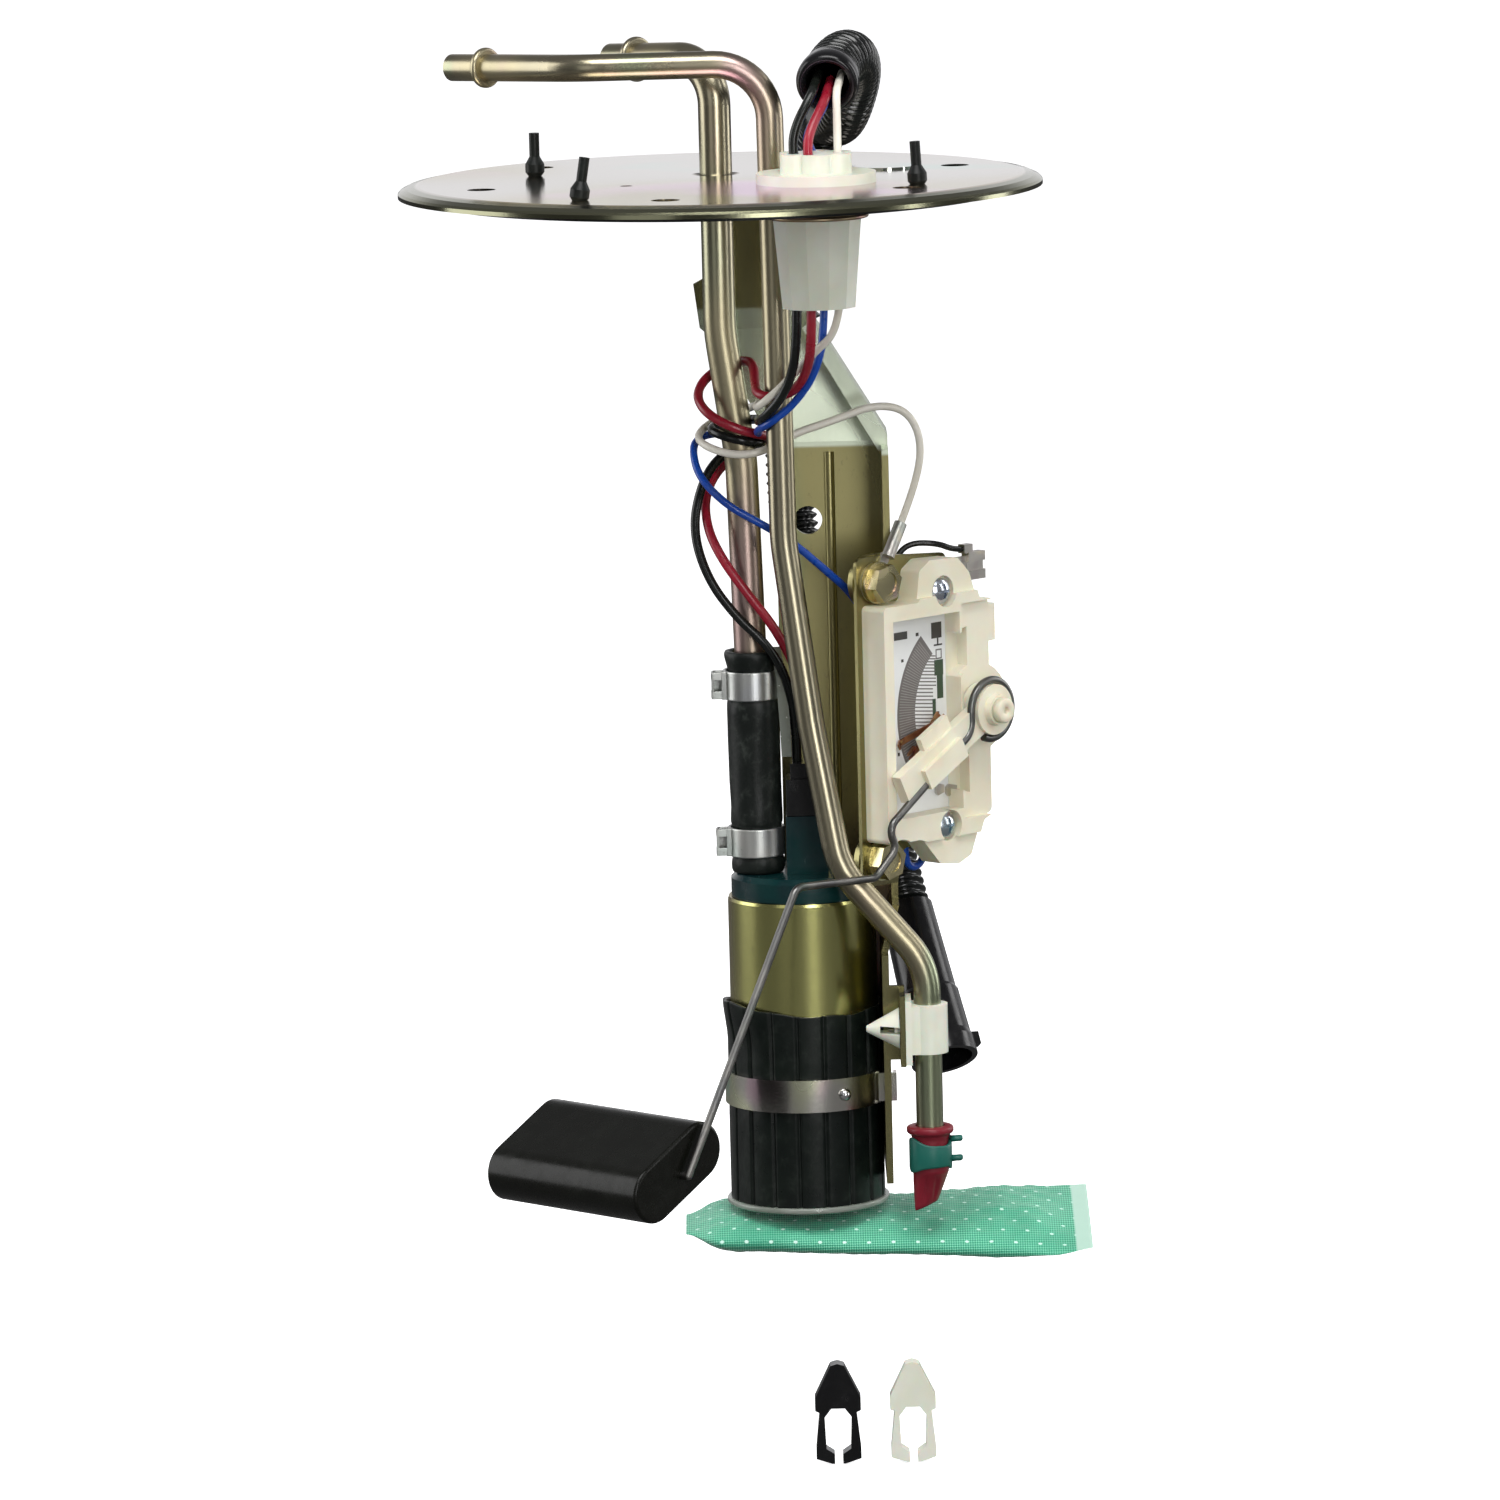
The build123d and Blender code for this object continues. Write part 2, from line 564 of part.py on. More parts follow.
def shaft():
    return at_pump(disc(SHAFT_R, -289 + 0.1, CAP_TOP - 3 - 1.0))


def shaft_bushes():
    """Plain bronze bushes pressed into the two ends of the pump."""
    pair = [at_pump(tube(BUSH_R, SHAFT_R + CLEAR, z0, z1)) for z0, z1 in ((-284.5, -279), (CAN_TOP - 4, CAN_TOP + 2))]
    return Compound(children=pair)


def impeller():
    wheel = disc(IMPELLER_R, -288.8, -285.6)
    for i in range(36):
        wheel -= Rot(0, 0, i * 10) * block(IMPELLER_R - 2.6, IMPELLER_R + 1, -0.75, 0.75, -290, -284)
    return at_pump(wheel - disc(SHAFT_R, -300, -200))


def brushes():
    pair = [at_pump(block(s * 10.5 - 3.4, s * 10.5 + 3.4, -2.2, 2.2, BRUSH_Z - 3, BRUSH_Z + 3)) for s in (-1, 1)]
    return Compound(children=pair)


def brush_springs():
    pair = [at_pump(Pos(s * 14.9, 0, BRUSH_Z) * Rot(0, 90, 0) * Cylinder(1.6, 2.0)) for s in (-1, 1)]
    return Compound(children=pair)


def check_valve():
    """Poppet in the outlet nipple, closed on its seat."""
    nx, ny = SUPPLY_LOW_X + 0.5, SUPPLY_Y
    low = CAP_TOP - 5
    return Pos(nx, ny, 0) * (turned((0, low + 0.05), (1.3, low + 0.05), (2.4, low + 1.6), (2.4, low + 2.4), (0.8, low + 2.4), (0.8, low + 6), (0, low + 6)))


def valve_spring():
    nx, ny = SUPPLY_LOW_X + 0.5, SUPPLY_Y
    low = CAP_TOP - 5 + 2.5
    return tube(2.3, 1.5, low, low + 9, nx, ny)


def pump_plug():
    plug = block(16.2, 25.2, 7.2, 17.9, -198.5, -171.5) + block(14.9, 26.5, 5.9, 19.2, -186.8, -176)
    for x in PLUG_LEADS_X:
        plug -= disc(LEAD_R + GAP, -180, -170, x, 12.5)
        plug -= block(x - 0.45, x + 0.45, 10.4, 14.6, -200, -189)
    return plug


def strainer_collar():
    """The moulded collar under the pump that the strainer sock is moulded to."""
    ring = disc(BASE_RING_R, BASE_RING_LOW, BASE_RING_TOP, PUMP_X, PUMP_Y)
    ring += disc(SPIGOT_R, BASE_RING_LOW - SPIGOT_H, BASE_RING_LOW, PUMP_X - SPIGOT_AT, PUMP_Y)
    return ring - disc(SPIGOT_BORE_R, BASE_RING_LOW - SPIGOT_H - 1, BASE_RING_TOP + 1, PUMP_X - SPIGOT_AT, PUMP_Y)


def sock_block(skin):
    """The bag's flat pillow shape, drawn in all round by a thickness."""
    length, width = SOCK_X1 - SOCK_X0 - 2 * skin, SOCK_Y1 - SOCK_Y0 - 2 * skin
    bag = Box(length, width, SOCK_T - 2 * skin)
    bag = fillet(bag.edges().filter_by(Axis.Z), SOCK_CORNER_R - skin)
    bag = fillet(bag.edges().filter_by(GeomType.LINE).filter_by(Plane.XY), SOCK_T / 2 - 0.6 - skin)
    return Pos((SOCK_X0 + SOCK_X1) / 2, (SOCK_Y0 + SOCK_Y1) / 2, SOCK_Z - 0.5) * bag


def strainer_sock():
    """A flat woven bag, closed all round but for the collar's spigot."""
    mouth = disc(SPIGOT_R + GAP, SOCK_Z + 0.5, SOCK_Z + 2 * SOCK_T, PUMP_X - SPIGOT_AT, PUMP_Y)
    return sock_block(0) - sock_block(SOCK_SKIN) - mouth


def strainer_frame():
    """The moulded ladder inside the bag that keeps its two faces apart."""
    middle = (SOCK_Y0 + SOCK_Y1) / 2
    frame = tube(8.0, SPIGOT_BORE_R, SOCK_Z + 1.5, BASE_RING_LOW - SPIGOT_H, PUMP_X - SPIGOT_AT, PUMP_Y)
    for y in (-8, 0, 8):
        frame += block(SOCK_X0 + 7, SOCK_X1 - 7, middle + y - 0.8, middle + y + 0.8, SOCK_Z - 3.8, SOCK_Z + 2.9)
    for i in range(SOCK_BARS):
        x = SOCK_X0 + 8 + i * (SOCK_X1 - SOCK_X0 - 16) / (SOCK_BARS - 1)
        frame += block(x - 0.8, x + 0.8, middle - 10.5, middle + 10.5, SOCK_Z - 2.0, SOCK_Z + 1.0)
    return frame - disc(SPIGOT_BORE_R, SOCK_Z - SOCK_T, SOCK_Z + 2 * SOCK_T, PUMP_X - SPIGOT_AT, PUMP_Y)


# ---------------------------------------------------------------- fuel hose


def hose_axis_x(z):
    return SUPPLY_LOW_X + 0.5 * (HOSE_TOP - z) / (HOSE_TOP - HOSE_LOW) - 0.3


def supply_path():
    return bent(
        [
            SUPPLY_END,
            (SUPPLY_X, SUPPLY_Y, TUBE_TOP + 0.6),
            (SUPPLY_X, SUPPLY_Y, -44),
            (4.1, SUPPLY_Y, -82),
            (SUPPLY_LOW_X, SUPPLY_Y, SUPPLY_LOW_Z),
        ],
        [SUPPLY_BEND_R, 60, 60],
    )


def fuel_hose():
    """Moulded over the tube's end above and the pump's barbed nipple below."""
    hose = rod(Line((hose_axis_x(HOSE_TOP), SUPPLY_Y, HOSE_TOP), (hose_axis_x(HOSE_LOW), SUPPLY_Y, HOSE_LOW)), HOSE_R)
    bore = Line((hose_axis_x(HOSE_TOP), SUPPLY_Y, HOSE_TOP + 5), (hose_axis_x(HOSE_LOW), SUPPLY_Y, HOSE_LOW - 5))
    hose -= rod(bore, HOSE_BORE_R)
    return hose - rod(supply_path(), SUPPLY_R) - pump_end_cap()


def hose_clamp(z):
    x = hose_axis_x(z)
    band = tube(HOSE_R + CLAMP_T, HOSE_R + 0.1, z - CLAMP_W / 2, z + CLAMP_W / 2, x, SUPPLY_Y)
    ear = block(x - HOSE_R - 6.2, x - HOSE_R - 0.4, SUPPLY_Y - 2.2, SUPPLY_Y + 2.2, z - CLAMP_W / 2, z + CLAMP_W / 2)
    ear -= block(x - HOSE_R - 5.2, x - HOSE_R - 1.4, SUPPLY_Y - 1.3, SUPPLY_Y + 1.3, z - 9, z + 9)
    ear -= disc(HOSE_R + 0.1, z - 9, z + 9, x, SUPPLY_Y)
    return band + ear


def hose_clamps():
    return Compound(children=[hose_clamp(z) for z in (CLAMP_HIGH_Z, CLAMP_LOW_Z)])


# ---------------------------------------------------------------- level sender


def in_sender(shape):
    return SENDER * shape


def rounded(points, radius, depth):
    face = make_face(FilletPolyline(*points, radius=radius, close=True))
    return extrude(face, depth)


def sender_plate():
    outline = [(-7.6, -205), (-7.6, -110.5), (4, -110.5), (31, -112.5), (31, -198), (10, -198), (7.6, -207.5), (-5, -207.5)]
    plate = rounded(outline, 2.2, PLATE_SENDER_T)
    for z in (SENDER_BOLT_Z0, SENDER_BOLT_Z1):
        plate -= Pos(0, z, 0) * Cylinder(2.6, 20)
    for z in (SENDER_SCREW_Z0, SENDER_SCREW_Z1):
        plate -= Pos(SENDER_SCREW_X, z, 0) * Cylinder(1.9, 20)
    return in_sender(plate)


def sender_housing():
    outline = rounded(HOUSING_OUTLINE, 1.6, HOUSING_FRONT - PLATE_SENDER_T)
    body = Pos(0, 0, PLATE_SENDER_T) * outline
    # the part right of the card and below the arm's sweep is lower than the card's frame
    body += Pos(HUB_X, HUB_Z, (PLATE_SENDER_T + BOSS_FRONT) / 2) * Cylinder(BOSS_R, BOSS_FRONT - PLATE_SENDER_T)
    body -= Pos(60, HUB_Z, 16) * Box(2 * (60 - 27.9), 64, 2 * (16 - BOSS_FRONT))
    for z0, z1 in ((-123.5, -100.0), (-210.0, -195.5)):
        body -= Pos(22, (z0 + z1) / 2, 13) * Box(80, z1 - z0, 2 * (13 - 8.6))
    body -= Pos((CARD_X0 + CARD_X1) / 2, (CARD_Z0 + CARD_Z1) / 2, CARD_SEAT + 10) * Box(CARD_X1 - CARD_X0, CARD_Z1 - CARD_Z0, 20)
    body += Pos(HUB_X, HUB_Z, (BOSS_FRONT + 15) / 2) * Cylinder(POST_R, 15 - BOSS_FRONT + 0.4)
    # the wiper fingers sweep over a shallow ring about the hub
    sweep = Pos(HUB_X, HUB_Z, SWEEP_FLOOR + 10) * (Cylinder(SWEEP_R, 20) - Cylinder(BOSS_R + 0.3, 22))
    body -= sweep - Pos(82, HUB_Z, 16) * Box(100, 100, 60)
    for z in (SENDER_SCREW_Z0, SENDER_SCREW_Z1):
        body -= Pos(SENDER_SCREW_X, z, 0) * Cylinder(1.9, 20)
        body -= Pos(SENDER_SCREW_X, z, 6.6 + 5) * Cylinder(4.6, 10)
    # clearance for the plate's bolts and the blade's slot
    for z in (SENDER_BOLT_Z0, SENDER_BOLT_Z1):
        body -= Pos(0, z, 10) * Cylinder(6.6, 40)
    body -= Pos(30.0, -117.0, 4.4) * Box(12.2, 6.3 + 0.02, 0.82)
    # connector shell moulded on the right edge, with its key slots
    body += Pos(42.3, -134.0, 4.6) * Box(4.2, 11, 6.8)
    body -= Pos(43.0, -134.0, 4.6) * Box(6, 6, 3.4)
    return in_sender(body)


def resistor_card():
    return in_sender(
        Pos((CARD_X0 + CARD_X1) / 2, (CARD_Z0 + CARD_Z1) / 2, CARD_SEAT + CARD_T / 2)
        * Box(CARD_X1 - CARD_X0 - 0.1, CARD_Z1 - CARD_Z0 - 0.1, CARD_T)
    )


def hex_bolt(z, lift=0.0):
    """Flanged hexagon bolt, its head on the sender's plate or on a lug that lifts it."""
    base = PLATE_SENDER_T + lift
    bolt = Pos(0, 0, base + 0.6) * Cylinder(6.2, 1.2) + Pos(0, 0, base + 1.1) * extrude(
        RegularPolygon(BOLT_HEAD_ACROSS / 2, 6, major_radius=False), 4.0
    )
    bolt += Pos(0, 0, (base - 7) / 2) * Cylinder(2.5, base + 7)
    bolt = bolt - Pos(0, 0, base + 5.1) * Cylinder(3.4, 0.8)
    return in_sender(Pos(0, z, 0) * Rot(0, 0, 12) * bolt)


def pan_screw(z):
    head = Pos(0, 0, 6.6) * (Pos(0, 0, 0.7) * Cylinder(3.7, 1.4) + Pos(0, 0, -2.0) * (Sphere(5.06) - Pos(0, 0, -6.6) * Box(20, 20, 20)))
    shank = Pos(0, 0, (6.7 - 2.5) / 2) * Cylinder(1.9, 6.7 + 2.5)
    cross = Pos(0, 0, 9.2) * (Box(4.4, 0.9, 2.4) + Box(0.9, 4.4, 2.4))
    return in_sender(Pos(SENDER_SCREW_X, z, 0) * (head + shank - cross))


def sender_bolts():
    return Compound(children=[hex_bolt(SENDER_BOLT_Z0, RING_T_LUG), hex_bolt(SENDER_BOLT_Z1)])


def sender_screws():
    return Compound(children=[pan_screw(z) for z in (SENDER_SCREW_Z0, SENDER_SCREW_Z1)])


def sender_blade():
    """The flat terminal blade standing out of the housing's upper right."""
    return in_sender(Pos(31.0, -117.0, 4.4) * Box(14.0, 6.3, 0.8))


def blade_receptacle():
    """A push-on female receptacle with rolled edges and its crimp."""
    box = Box(7.2, 8.2, 2.9) - Box(9, 6.34, 0.84)
    box -= Pos(0, 0, 1.3) * Box(9, 2.6, 1.6)
    crimp = Pos(-3.4, 5.3, 0) * Box(3.6, 2.6, 2.6)
    return in_sender(Pos(39.6, -117.0, 4.4) * box + Pos(39.6, -117.0, 4.4) * crimp)


def arm_local(shape):
    """Places a shape made with x along the wiper arm, about the hub's axis."""
    return in_sender(Pos(HUB_X, HUB_Z, 0) * Rot(0, 0, ARM_ANGLE) * shape)


def wire_points():
    """The float arm's bends in the sender's plane, from the loop's end to the float."""
    return [
        (HUB_X - LOOP_R, -164.6), (-9.2, -188.4), (-6.2, -195.0), (-15.5, -202.4), (-48.8, -200.6),
        (FLOAT_X + 1.5, FLOAT_Z - 1.0),
    ]


def float_wire_path():
    start = math.radians(246)
    loop = ThreePointArc(
        (HUB_X + LOOP_R * math.cos(start), HUB_Z + LOOP_R * math.sin(start)),
        (HUB_X + LOOP_R * math.cos(math.radians(33)), HUB_Z + LOOP_R * math.sin(math.radians(33))),
        (HUB_X - LOOP_R, HUB_Z),
    )
    run = FilletPolyline((HUB_X - LOOP_R, HUB_Z), *wire_points(), radius=[6, 4, 3.4, 5, 4])
    into_float = (FLOAT_X + 1.5, FLOAT_Z - 1.0)
    flat = Pos(0, 0, ARM_PLANE) * (loop + run)
    tail = Line((*into_float, ARM_PLANE), (*into_float, ARM_PLANE - 30))
    return flat, tail


def float_arm():
    flat, tail = float_wire_path()
    wire = in_sender(rod(flat, ARM_WIRE_R))
    end = in_sender(rod(tail, ARM_WIRE_R) + Pos(*tuple(tail @ 0)) * Sphere(ARM_WIRE_R))
    return wire + end


def wiper_carrier():
    """Nylon arm on the hub post, with the channel that grips the float arm's wire."""
    hub = Pos(0, 0, (BOSS_FRONT + 0.3 + 15.2) / 2) * Cylinder(LOOP_R - ARM_WIRE_R - RELIEF, 15.2 - BOSS_FRONT - 0.3)
    tip = Pos(0, 0, 15.0) * Cone(5.2, 4.4, 4.4)
    arm = Pos(21.5, 0, (CARRIER_BACK + CARRIER_FRONT) / 2) * Box(43, 9, CARRIER_FRONT - CARRIER_BACK)
    bridge = Pos(25.5, 1.9, (CARRIER_BACK + 15.6) / 2) * Box(18, 6.4, 15.6 - CARRIER_BACK)
    brow = Pos(22.5, -6.0, (CARRIER_BACK + 12.4) / 2) * Box(13, 5.0, 12.4 - CARRIER_BACK)
    carrier = in_sender(Pos(HUB_X, HUB_Z, 0) * Rot(0, 0, ARM_ANGLE) * (hub + tip + arm + bridge + brow))
    flat, _ = float_wire_path()
    carrier -= in_sender(rod(flat, ARM_WIRE_R + RELIEF))
    carrier -= in_sender(Pos(HUB_X, HUB_Z, 0) * Cylinder(POST_R + CLEAR, 31.0))
    return carrier


def wiper_contacts():
    """Two springy copper fingers under the arm, with their tips just on the card."""
    fingers = []
    for y, reach in ((-7.2, FINGER_REACH), (-4.6, FINGER_REACH - 9.5)):
        profile = [
            (15, 10.0), (17.5, 10.0), (reach - 2, 4.95), (reach, 4.3), (reach + 2.2, 5.6), (reach + 2.0, 6.05),
            (reach, 4.8), (reach - 1.8, 5.35), (17.7, CARRIER_BACK), (15, CARRIER_BACK),
        ]
        fingers.append(Pos(0, y + 0.9, 0) * extrude(Plane.XZ * make_face(Polyline(*profile, close=True)), 1.8))
    return Compound(children=[arm_local(f) for f in fingers])


def float_body():
    section = Rot(0, 0, FLOAT_TILT) * SlotOverall(FLOAT_W, FLOAT_T)
    face = ARM_PLANE - ARM_WIRE_R - 1.2
    body = Pos(FLOAT_X, FLOAT_Z, face - FLOAT_L) * extrude(section, FLOAT_L)
    body = fillet(body.edges().filter_by_position(Axis.Z, face - 0.01, face + 0.01), 1.0)
    _, tail = float_wire_path()
    return in_sender(body - rod(tail, ARM_WIRE_R + RELIEF))


# ---------------------------------------------------------------- return tube fittings


def return_clip():
    """Nylon clip: an arrowhead pushed through the lug and a ring round the tube."""
    x, y, z = 48.0, RETURN_LOW_Y, -247.5
    plate = block(x, x + 1.8, y - 7.2, y + 7.2, z - 10.0, z + 9.0)
    grip = tube(RETURN_R + 1.9, RETURN_R, z - 7.2, z + 7.2, RETURN_LOW_X, RETURN_LOW_Y)
    neck = block(x, RETURN_LOW_X - 2, y - 5.4, y + 5.4, z - 7.2, z + 7.2) - disc(RETURN_R, z - 20, z + 20, RETURN_LOW_X, RETURN_LOW_Y)
    stem = Pos(x - 1.5, y, z) * Rot(0, 90, 0) * Cylinder(2.5, 3.4)
    head = Pos(41.4, y, z) * Rot(0, -90, 0) * Cone(6.0, 0.9, 9.6)
    head -= Pos(43.6, y, z) * (Box(6, 20, 2.2))
    return plate + grip + neck + stem + head


def duckbill_valve():
    """Red rubber check valve on the tube's end: collar, neck and two closed lips."""
    x, y, top = RETURN_LOW_X, RETURN_LOW_Y, -276.6
    body = disc(6.9, top - 3.0, top, x, y) + disc(5.3, top - 14.5, top, x, y)
    lips = loft(
        [Pos(x, y, top - 14.4) * Rot(0, 0, 0) * Circle(5.2), Pos(x, y, top - 24.5) * RectangleRounded(8.6, 2.4, 1.1)]
    )
    body += lips
    body -= disc(RETURN_R, top - 7.4, top + 1, x, y)
    return body - disc(2.6, top - 15, top, x, y)


def valve_band():
    top = -276.6 - 3.0 - 0.9
    band = tube(6.2, 5.3, top - 9.2, top, RETURN_LOW_X, RETURN_LOW_Y)
    for z in (top - 2.4, top - 7.0):
        band += block(RETURN_LOW_X + 5.9, RETURN_LOW_X + 9.4, RETURN_LOW_Y - 1.2, RETURN_LOW_Y + 1.2, z - 0.9, z + 0.9)
    return band


# ---------------------------------------------------------------- leads and harness


def lead_mouth(name):
    """Where a lead meets the loom's open end, on the end face's own plane."""
    start = Vector(*LOOM_START)
    along = (Vector(*LOOM_ROUTE[1]) - start).normalized()
    side = along.cross(Vector(0, 0, 1)).normalized()
    up = side.cross(along)
    a, b = LEADS[name]
    return start + side * a + up * b


def outer_leads():
    """Four short leads from the connector's top into the mouth of the loom."""
    leads = []
    frame = Plane(origin=LOOM_START, z_dir=Vector(*LOOM_ROUTE[1]) - Vector(*LOOM_START))
    into = frame.z_dir
    for name, (x, y) in CAVITIES.items():
        mouth = lead_mouth(name)
        before = mouth - into * 7.0
        path = FilletPolyline(
            (x, y, PIN_TOP), (x, y, 16.0 + LEAD_RISE[name]), (before.X, before.Y, before.Z), (mouth.X, mouth.Y, mouth.Z),
            radius=[3.5, 2.4],
        )
        leads.append(rod(path, THIN_LEAD_R if name == "white" else LEAD_R))
    return Compound(children=leads)


def loom():
    return rod(cord_path("loom", LOOM_ROUTE), LOOM_R)


def plug_frame():
    start, before = Vector(*LOOM_ROUTE[-1]), Vector(*LOOM_ROUTE[-2])
    return Plane(origin=start, z_dir=(start - before).normalized())


def harness_plug():
    """Round shrouded plug on the loom's end: a tapered boot, a shoulder, the shroud and a key on its rim."""
    frame = plug_frame()
    body = turned(
        (0, 0), (PLUG_NECK_R, 0), (8.6, 28.5), (9.05, 29.5), (9.55, 43.5), (PLUG_R, 45.5), (PLUG_R, PLUG_L), (0, PLUG_L)
    )
    body -= Pos(0, 0, PLUG_FLOOR + 15) * Cylinder(PLUG_R - 1.7, 30)
    body += Rot(0, 0, PLUG_KEY_ANGLE) * block(PLUG_R - 0.8, PLUG_R + 2.3, -1.4, 1.4, 42.5, 46.5)
    return frame * body


def plug_pins():
    frame = plug_frame()
    pins = [frame * disc(1.1, PLUG_FLOOR, PLUG_FLOOR + 12, *polar(4.2, a)) for a in (45, 135, 225, 315)]
    return Compound(children=pins)


def loose_clip(x):
    """Arrow-shaped retaining clip for a push-on fuel connector, standing by itself."""
    z = -345.0
    half = [(0, z), (2.0, z - 0.6), (6.7, z - 10.2), (6.7, z - 14.0), (5.4, z - 14.6), (6.6, z - 25.5), (6.6, z - 28.4),
            (2.0, z - 29.9), (1.2, z - 29.9), (1.2, z - 27.0), (3.6, z - 25.4), (4.0, z - 16.0), (2.0, z - 13.4), (0, z - 13.4)]
    mirrored = [(-a, b) for a, b in reversed(half)]
    outline = make_face(Polyline(*half, *mirrored[1:-1], close=True))
    body = extrude(Plane.XZ * outline, 3.0, both=True)
    return Pos(x, -20, 0) * body


def sender_point(x, z, out):
    """A point of the sender's own frame, in the row frame."""
    return SENDER.from_local_coords((x, z, out))


BLACK_ROUTE = [
    (*CAVITIES["black"], PIN_LOW), (*CAVITIES["black"], -45.0), (17.9, -17.7, -59), (10, -10.7, -68.2),
    (9.3, 2, -69.6), (9.8, 14.2, -70.3), (4.4, 19.4, -71), (-2.7, 17.3, -71.8), (-5, 10.6, -72.8),
    (-0.2, 5.4, -74.4), (6.6, 4.9, -76), (11.4, 12.3, -77.2), (6.2, 19.7, -78.7), (-2, 18.4, -81),
    (-7.7, 14.2, -88.8), (-10.7, 9.7, -101.9), (-6.6, 5.4, -116), (1.8, 3.4, -127.5), (11, 2.8, -135.9),
    (16.8, 7.4, -148.5), (18.4, 12.5, -164), (18.4, 12.5, -180),
]
RED_ROUTE = [
    (*CAVITIES["red"], PIN_LOW), (*CAVITIES["red"], -43.0), (23.6, -19.5, -54), (18.6, -11.8, -60.9),
    (9.3, -9.3, -61.2), (8.6, 1, -58), (8.4, 10.4, -53), (3.5, 19.6, -53.4), (-5.4, 18.6, -57.6),
    (-8.8, 11, -62.6), (-5.6, 3.6, -67.4), (2.6, 1.6, -71.6), (10, 4.5, -73.9), (14.3, 13.4, -75.7),
    (8.7, 22.1, -79), (-1, 22, -83.4), (-6.8, 17.4, -91.8), (-6.5, 9.7, -101.2), (-2.4, 4, -109.8),
    (4.8, 2, -120), (13.4, 3.6, -131.5), (20, 7.6, -146.5), (23, 12.5, -163), (23, 12.5, -180),
]
BLUE_ROUTE = [
    (*CAVITIES["blue"], PIN_LOW), (*CAVITIES["blue"], -43.0), (27.6, -17, -57.5), (21, -12, -66.5),
    (13.3, -11.2, -71.2), (7.6, -4, -73), (6.2, 3.4, -79.4), (14.8, 10, -80), (13.4, 22, -79.6),
    (3, 27, -77), (-7, 24, -77), (-11, 14, -81), (-7.8, 5, -89.5), (0.2, 1.6, -96.8), (9, 2.6, -100.8),
    (18.4, 3.6, -106.5), (27.6, 6.4, -114), (35.6, 11.4, -122), (41.6, 15.6, -133), (47.2, 17.4, -149),
    (50.4, 18.9, -168), (49.6, 18.6, -190), sender_point(15.5, -205.0, -3.6),
    sender_point(23.5, -205.5, -3.8), sender_point(26.5, -194.5, -4.4), sender_point(27.0, -191.2, -3.2),
    sender_point(27.0, -190.8, 0.0),
]
WHITE_ROUTE = [
    (*CAVITIES["white"], PIN_LOW), (*CAVITIES["white"], -40.0), (25, -19.5, -48.5), (16.8, -14.2, -57.5),
    (8.6, -12.4, -64.5), (9.4, 2, -64.2), (10.6, 14, -65.6), (5.6, 22.6, -68.4), (-4.2, 21.4, -71.4),
    (-9, 13, -74.6), (-6.4, 4, -78), (1.4, 0.6, -80.6), (9.8, 1.9, -81), (19, 5, -76), (31, 7, -70.6),
    (43, 8, -66.2), (52.6, 8.6, -67.8), (57, 8.8, -76.6), (55.4, 9, -89), sender_point(*BARREL_TOP),
]


def lead(name, route, radius):
    return rod(cord_path(name, route), radius)


def ring_terminal():
    """Ring lug under the upper sender bolt, with its crimp barrel on the white lead."""
    ring = Pos(0, SENDER_BOLT_Z0, PLATE_SENDER_T + RING_T_LUG / 2) * (Cylinder(6.0, RING_T_LUG) - Cylinder(2.5, 9))
    axis = Vector(*BARREL_TOP) - Vector(*BARREL_LOW)
    barrel = Plane(origin=Vector(*BARREL_LOW) + axis / 2, z_dir=axis.normalized()) * (
        Cylinder(BARREL_R, axis.length) - Pos(0, 0, 3) * Cylinder(THIN_LEAD_R, axis.length)
    )
    angle = math.degrees(math.atan2(axis.Y, axis.X))
    tongue = Pos(2.6, -113.8, PLATE_SENDER_T + RING_T_LUG / 2) * Rot(0, 0, angle) * Box(8.0, 3.4, RING_T_LUG)
    return in_sender(ring + tongue - Pos(0, SENDER_BOLT_Z0, 0) * Cylinder(2.5, 20) + barrel)


def ground_jumper():
    """Short black lead from the receptacle's crimp round to the back of the sender's ear."""
    points = [
        (34.4, -111.7, 4.4), (31.0, -111.5, 4.3), (26.0, -109.2, 2.6), (20.0, -108.8, -2.6), (16.5, -112.0, -4.8),
        (15.5, -115.6, -3.4), (15.5, -116.0, 0.0),
    ]
    return rod(cord_path("ground_jumper", [sender_point(*p) for p in points]), JUMPER_R)


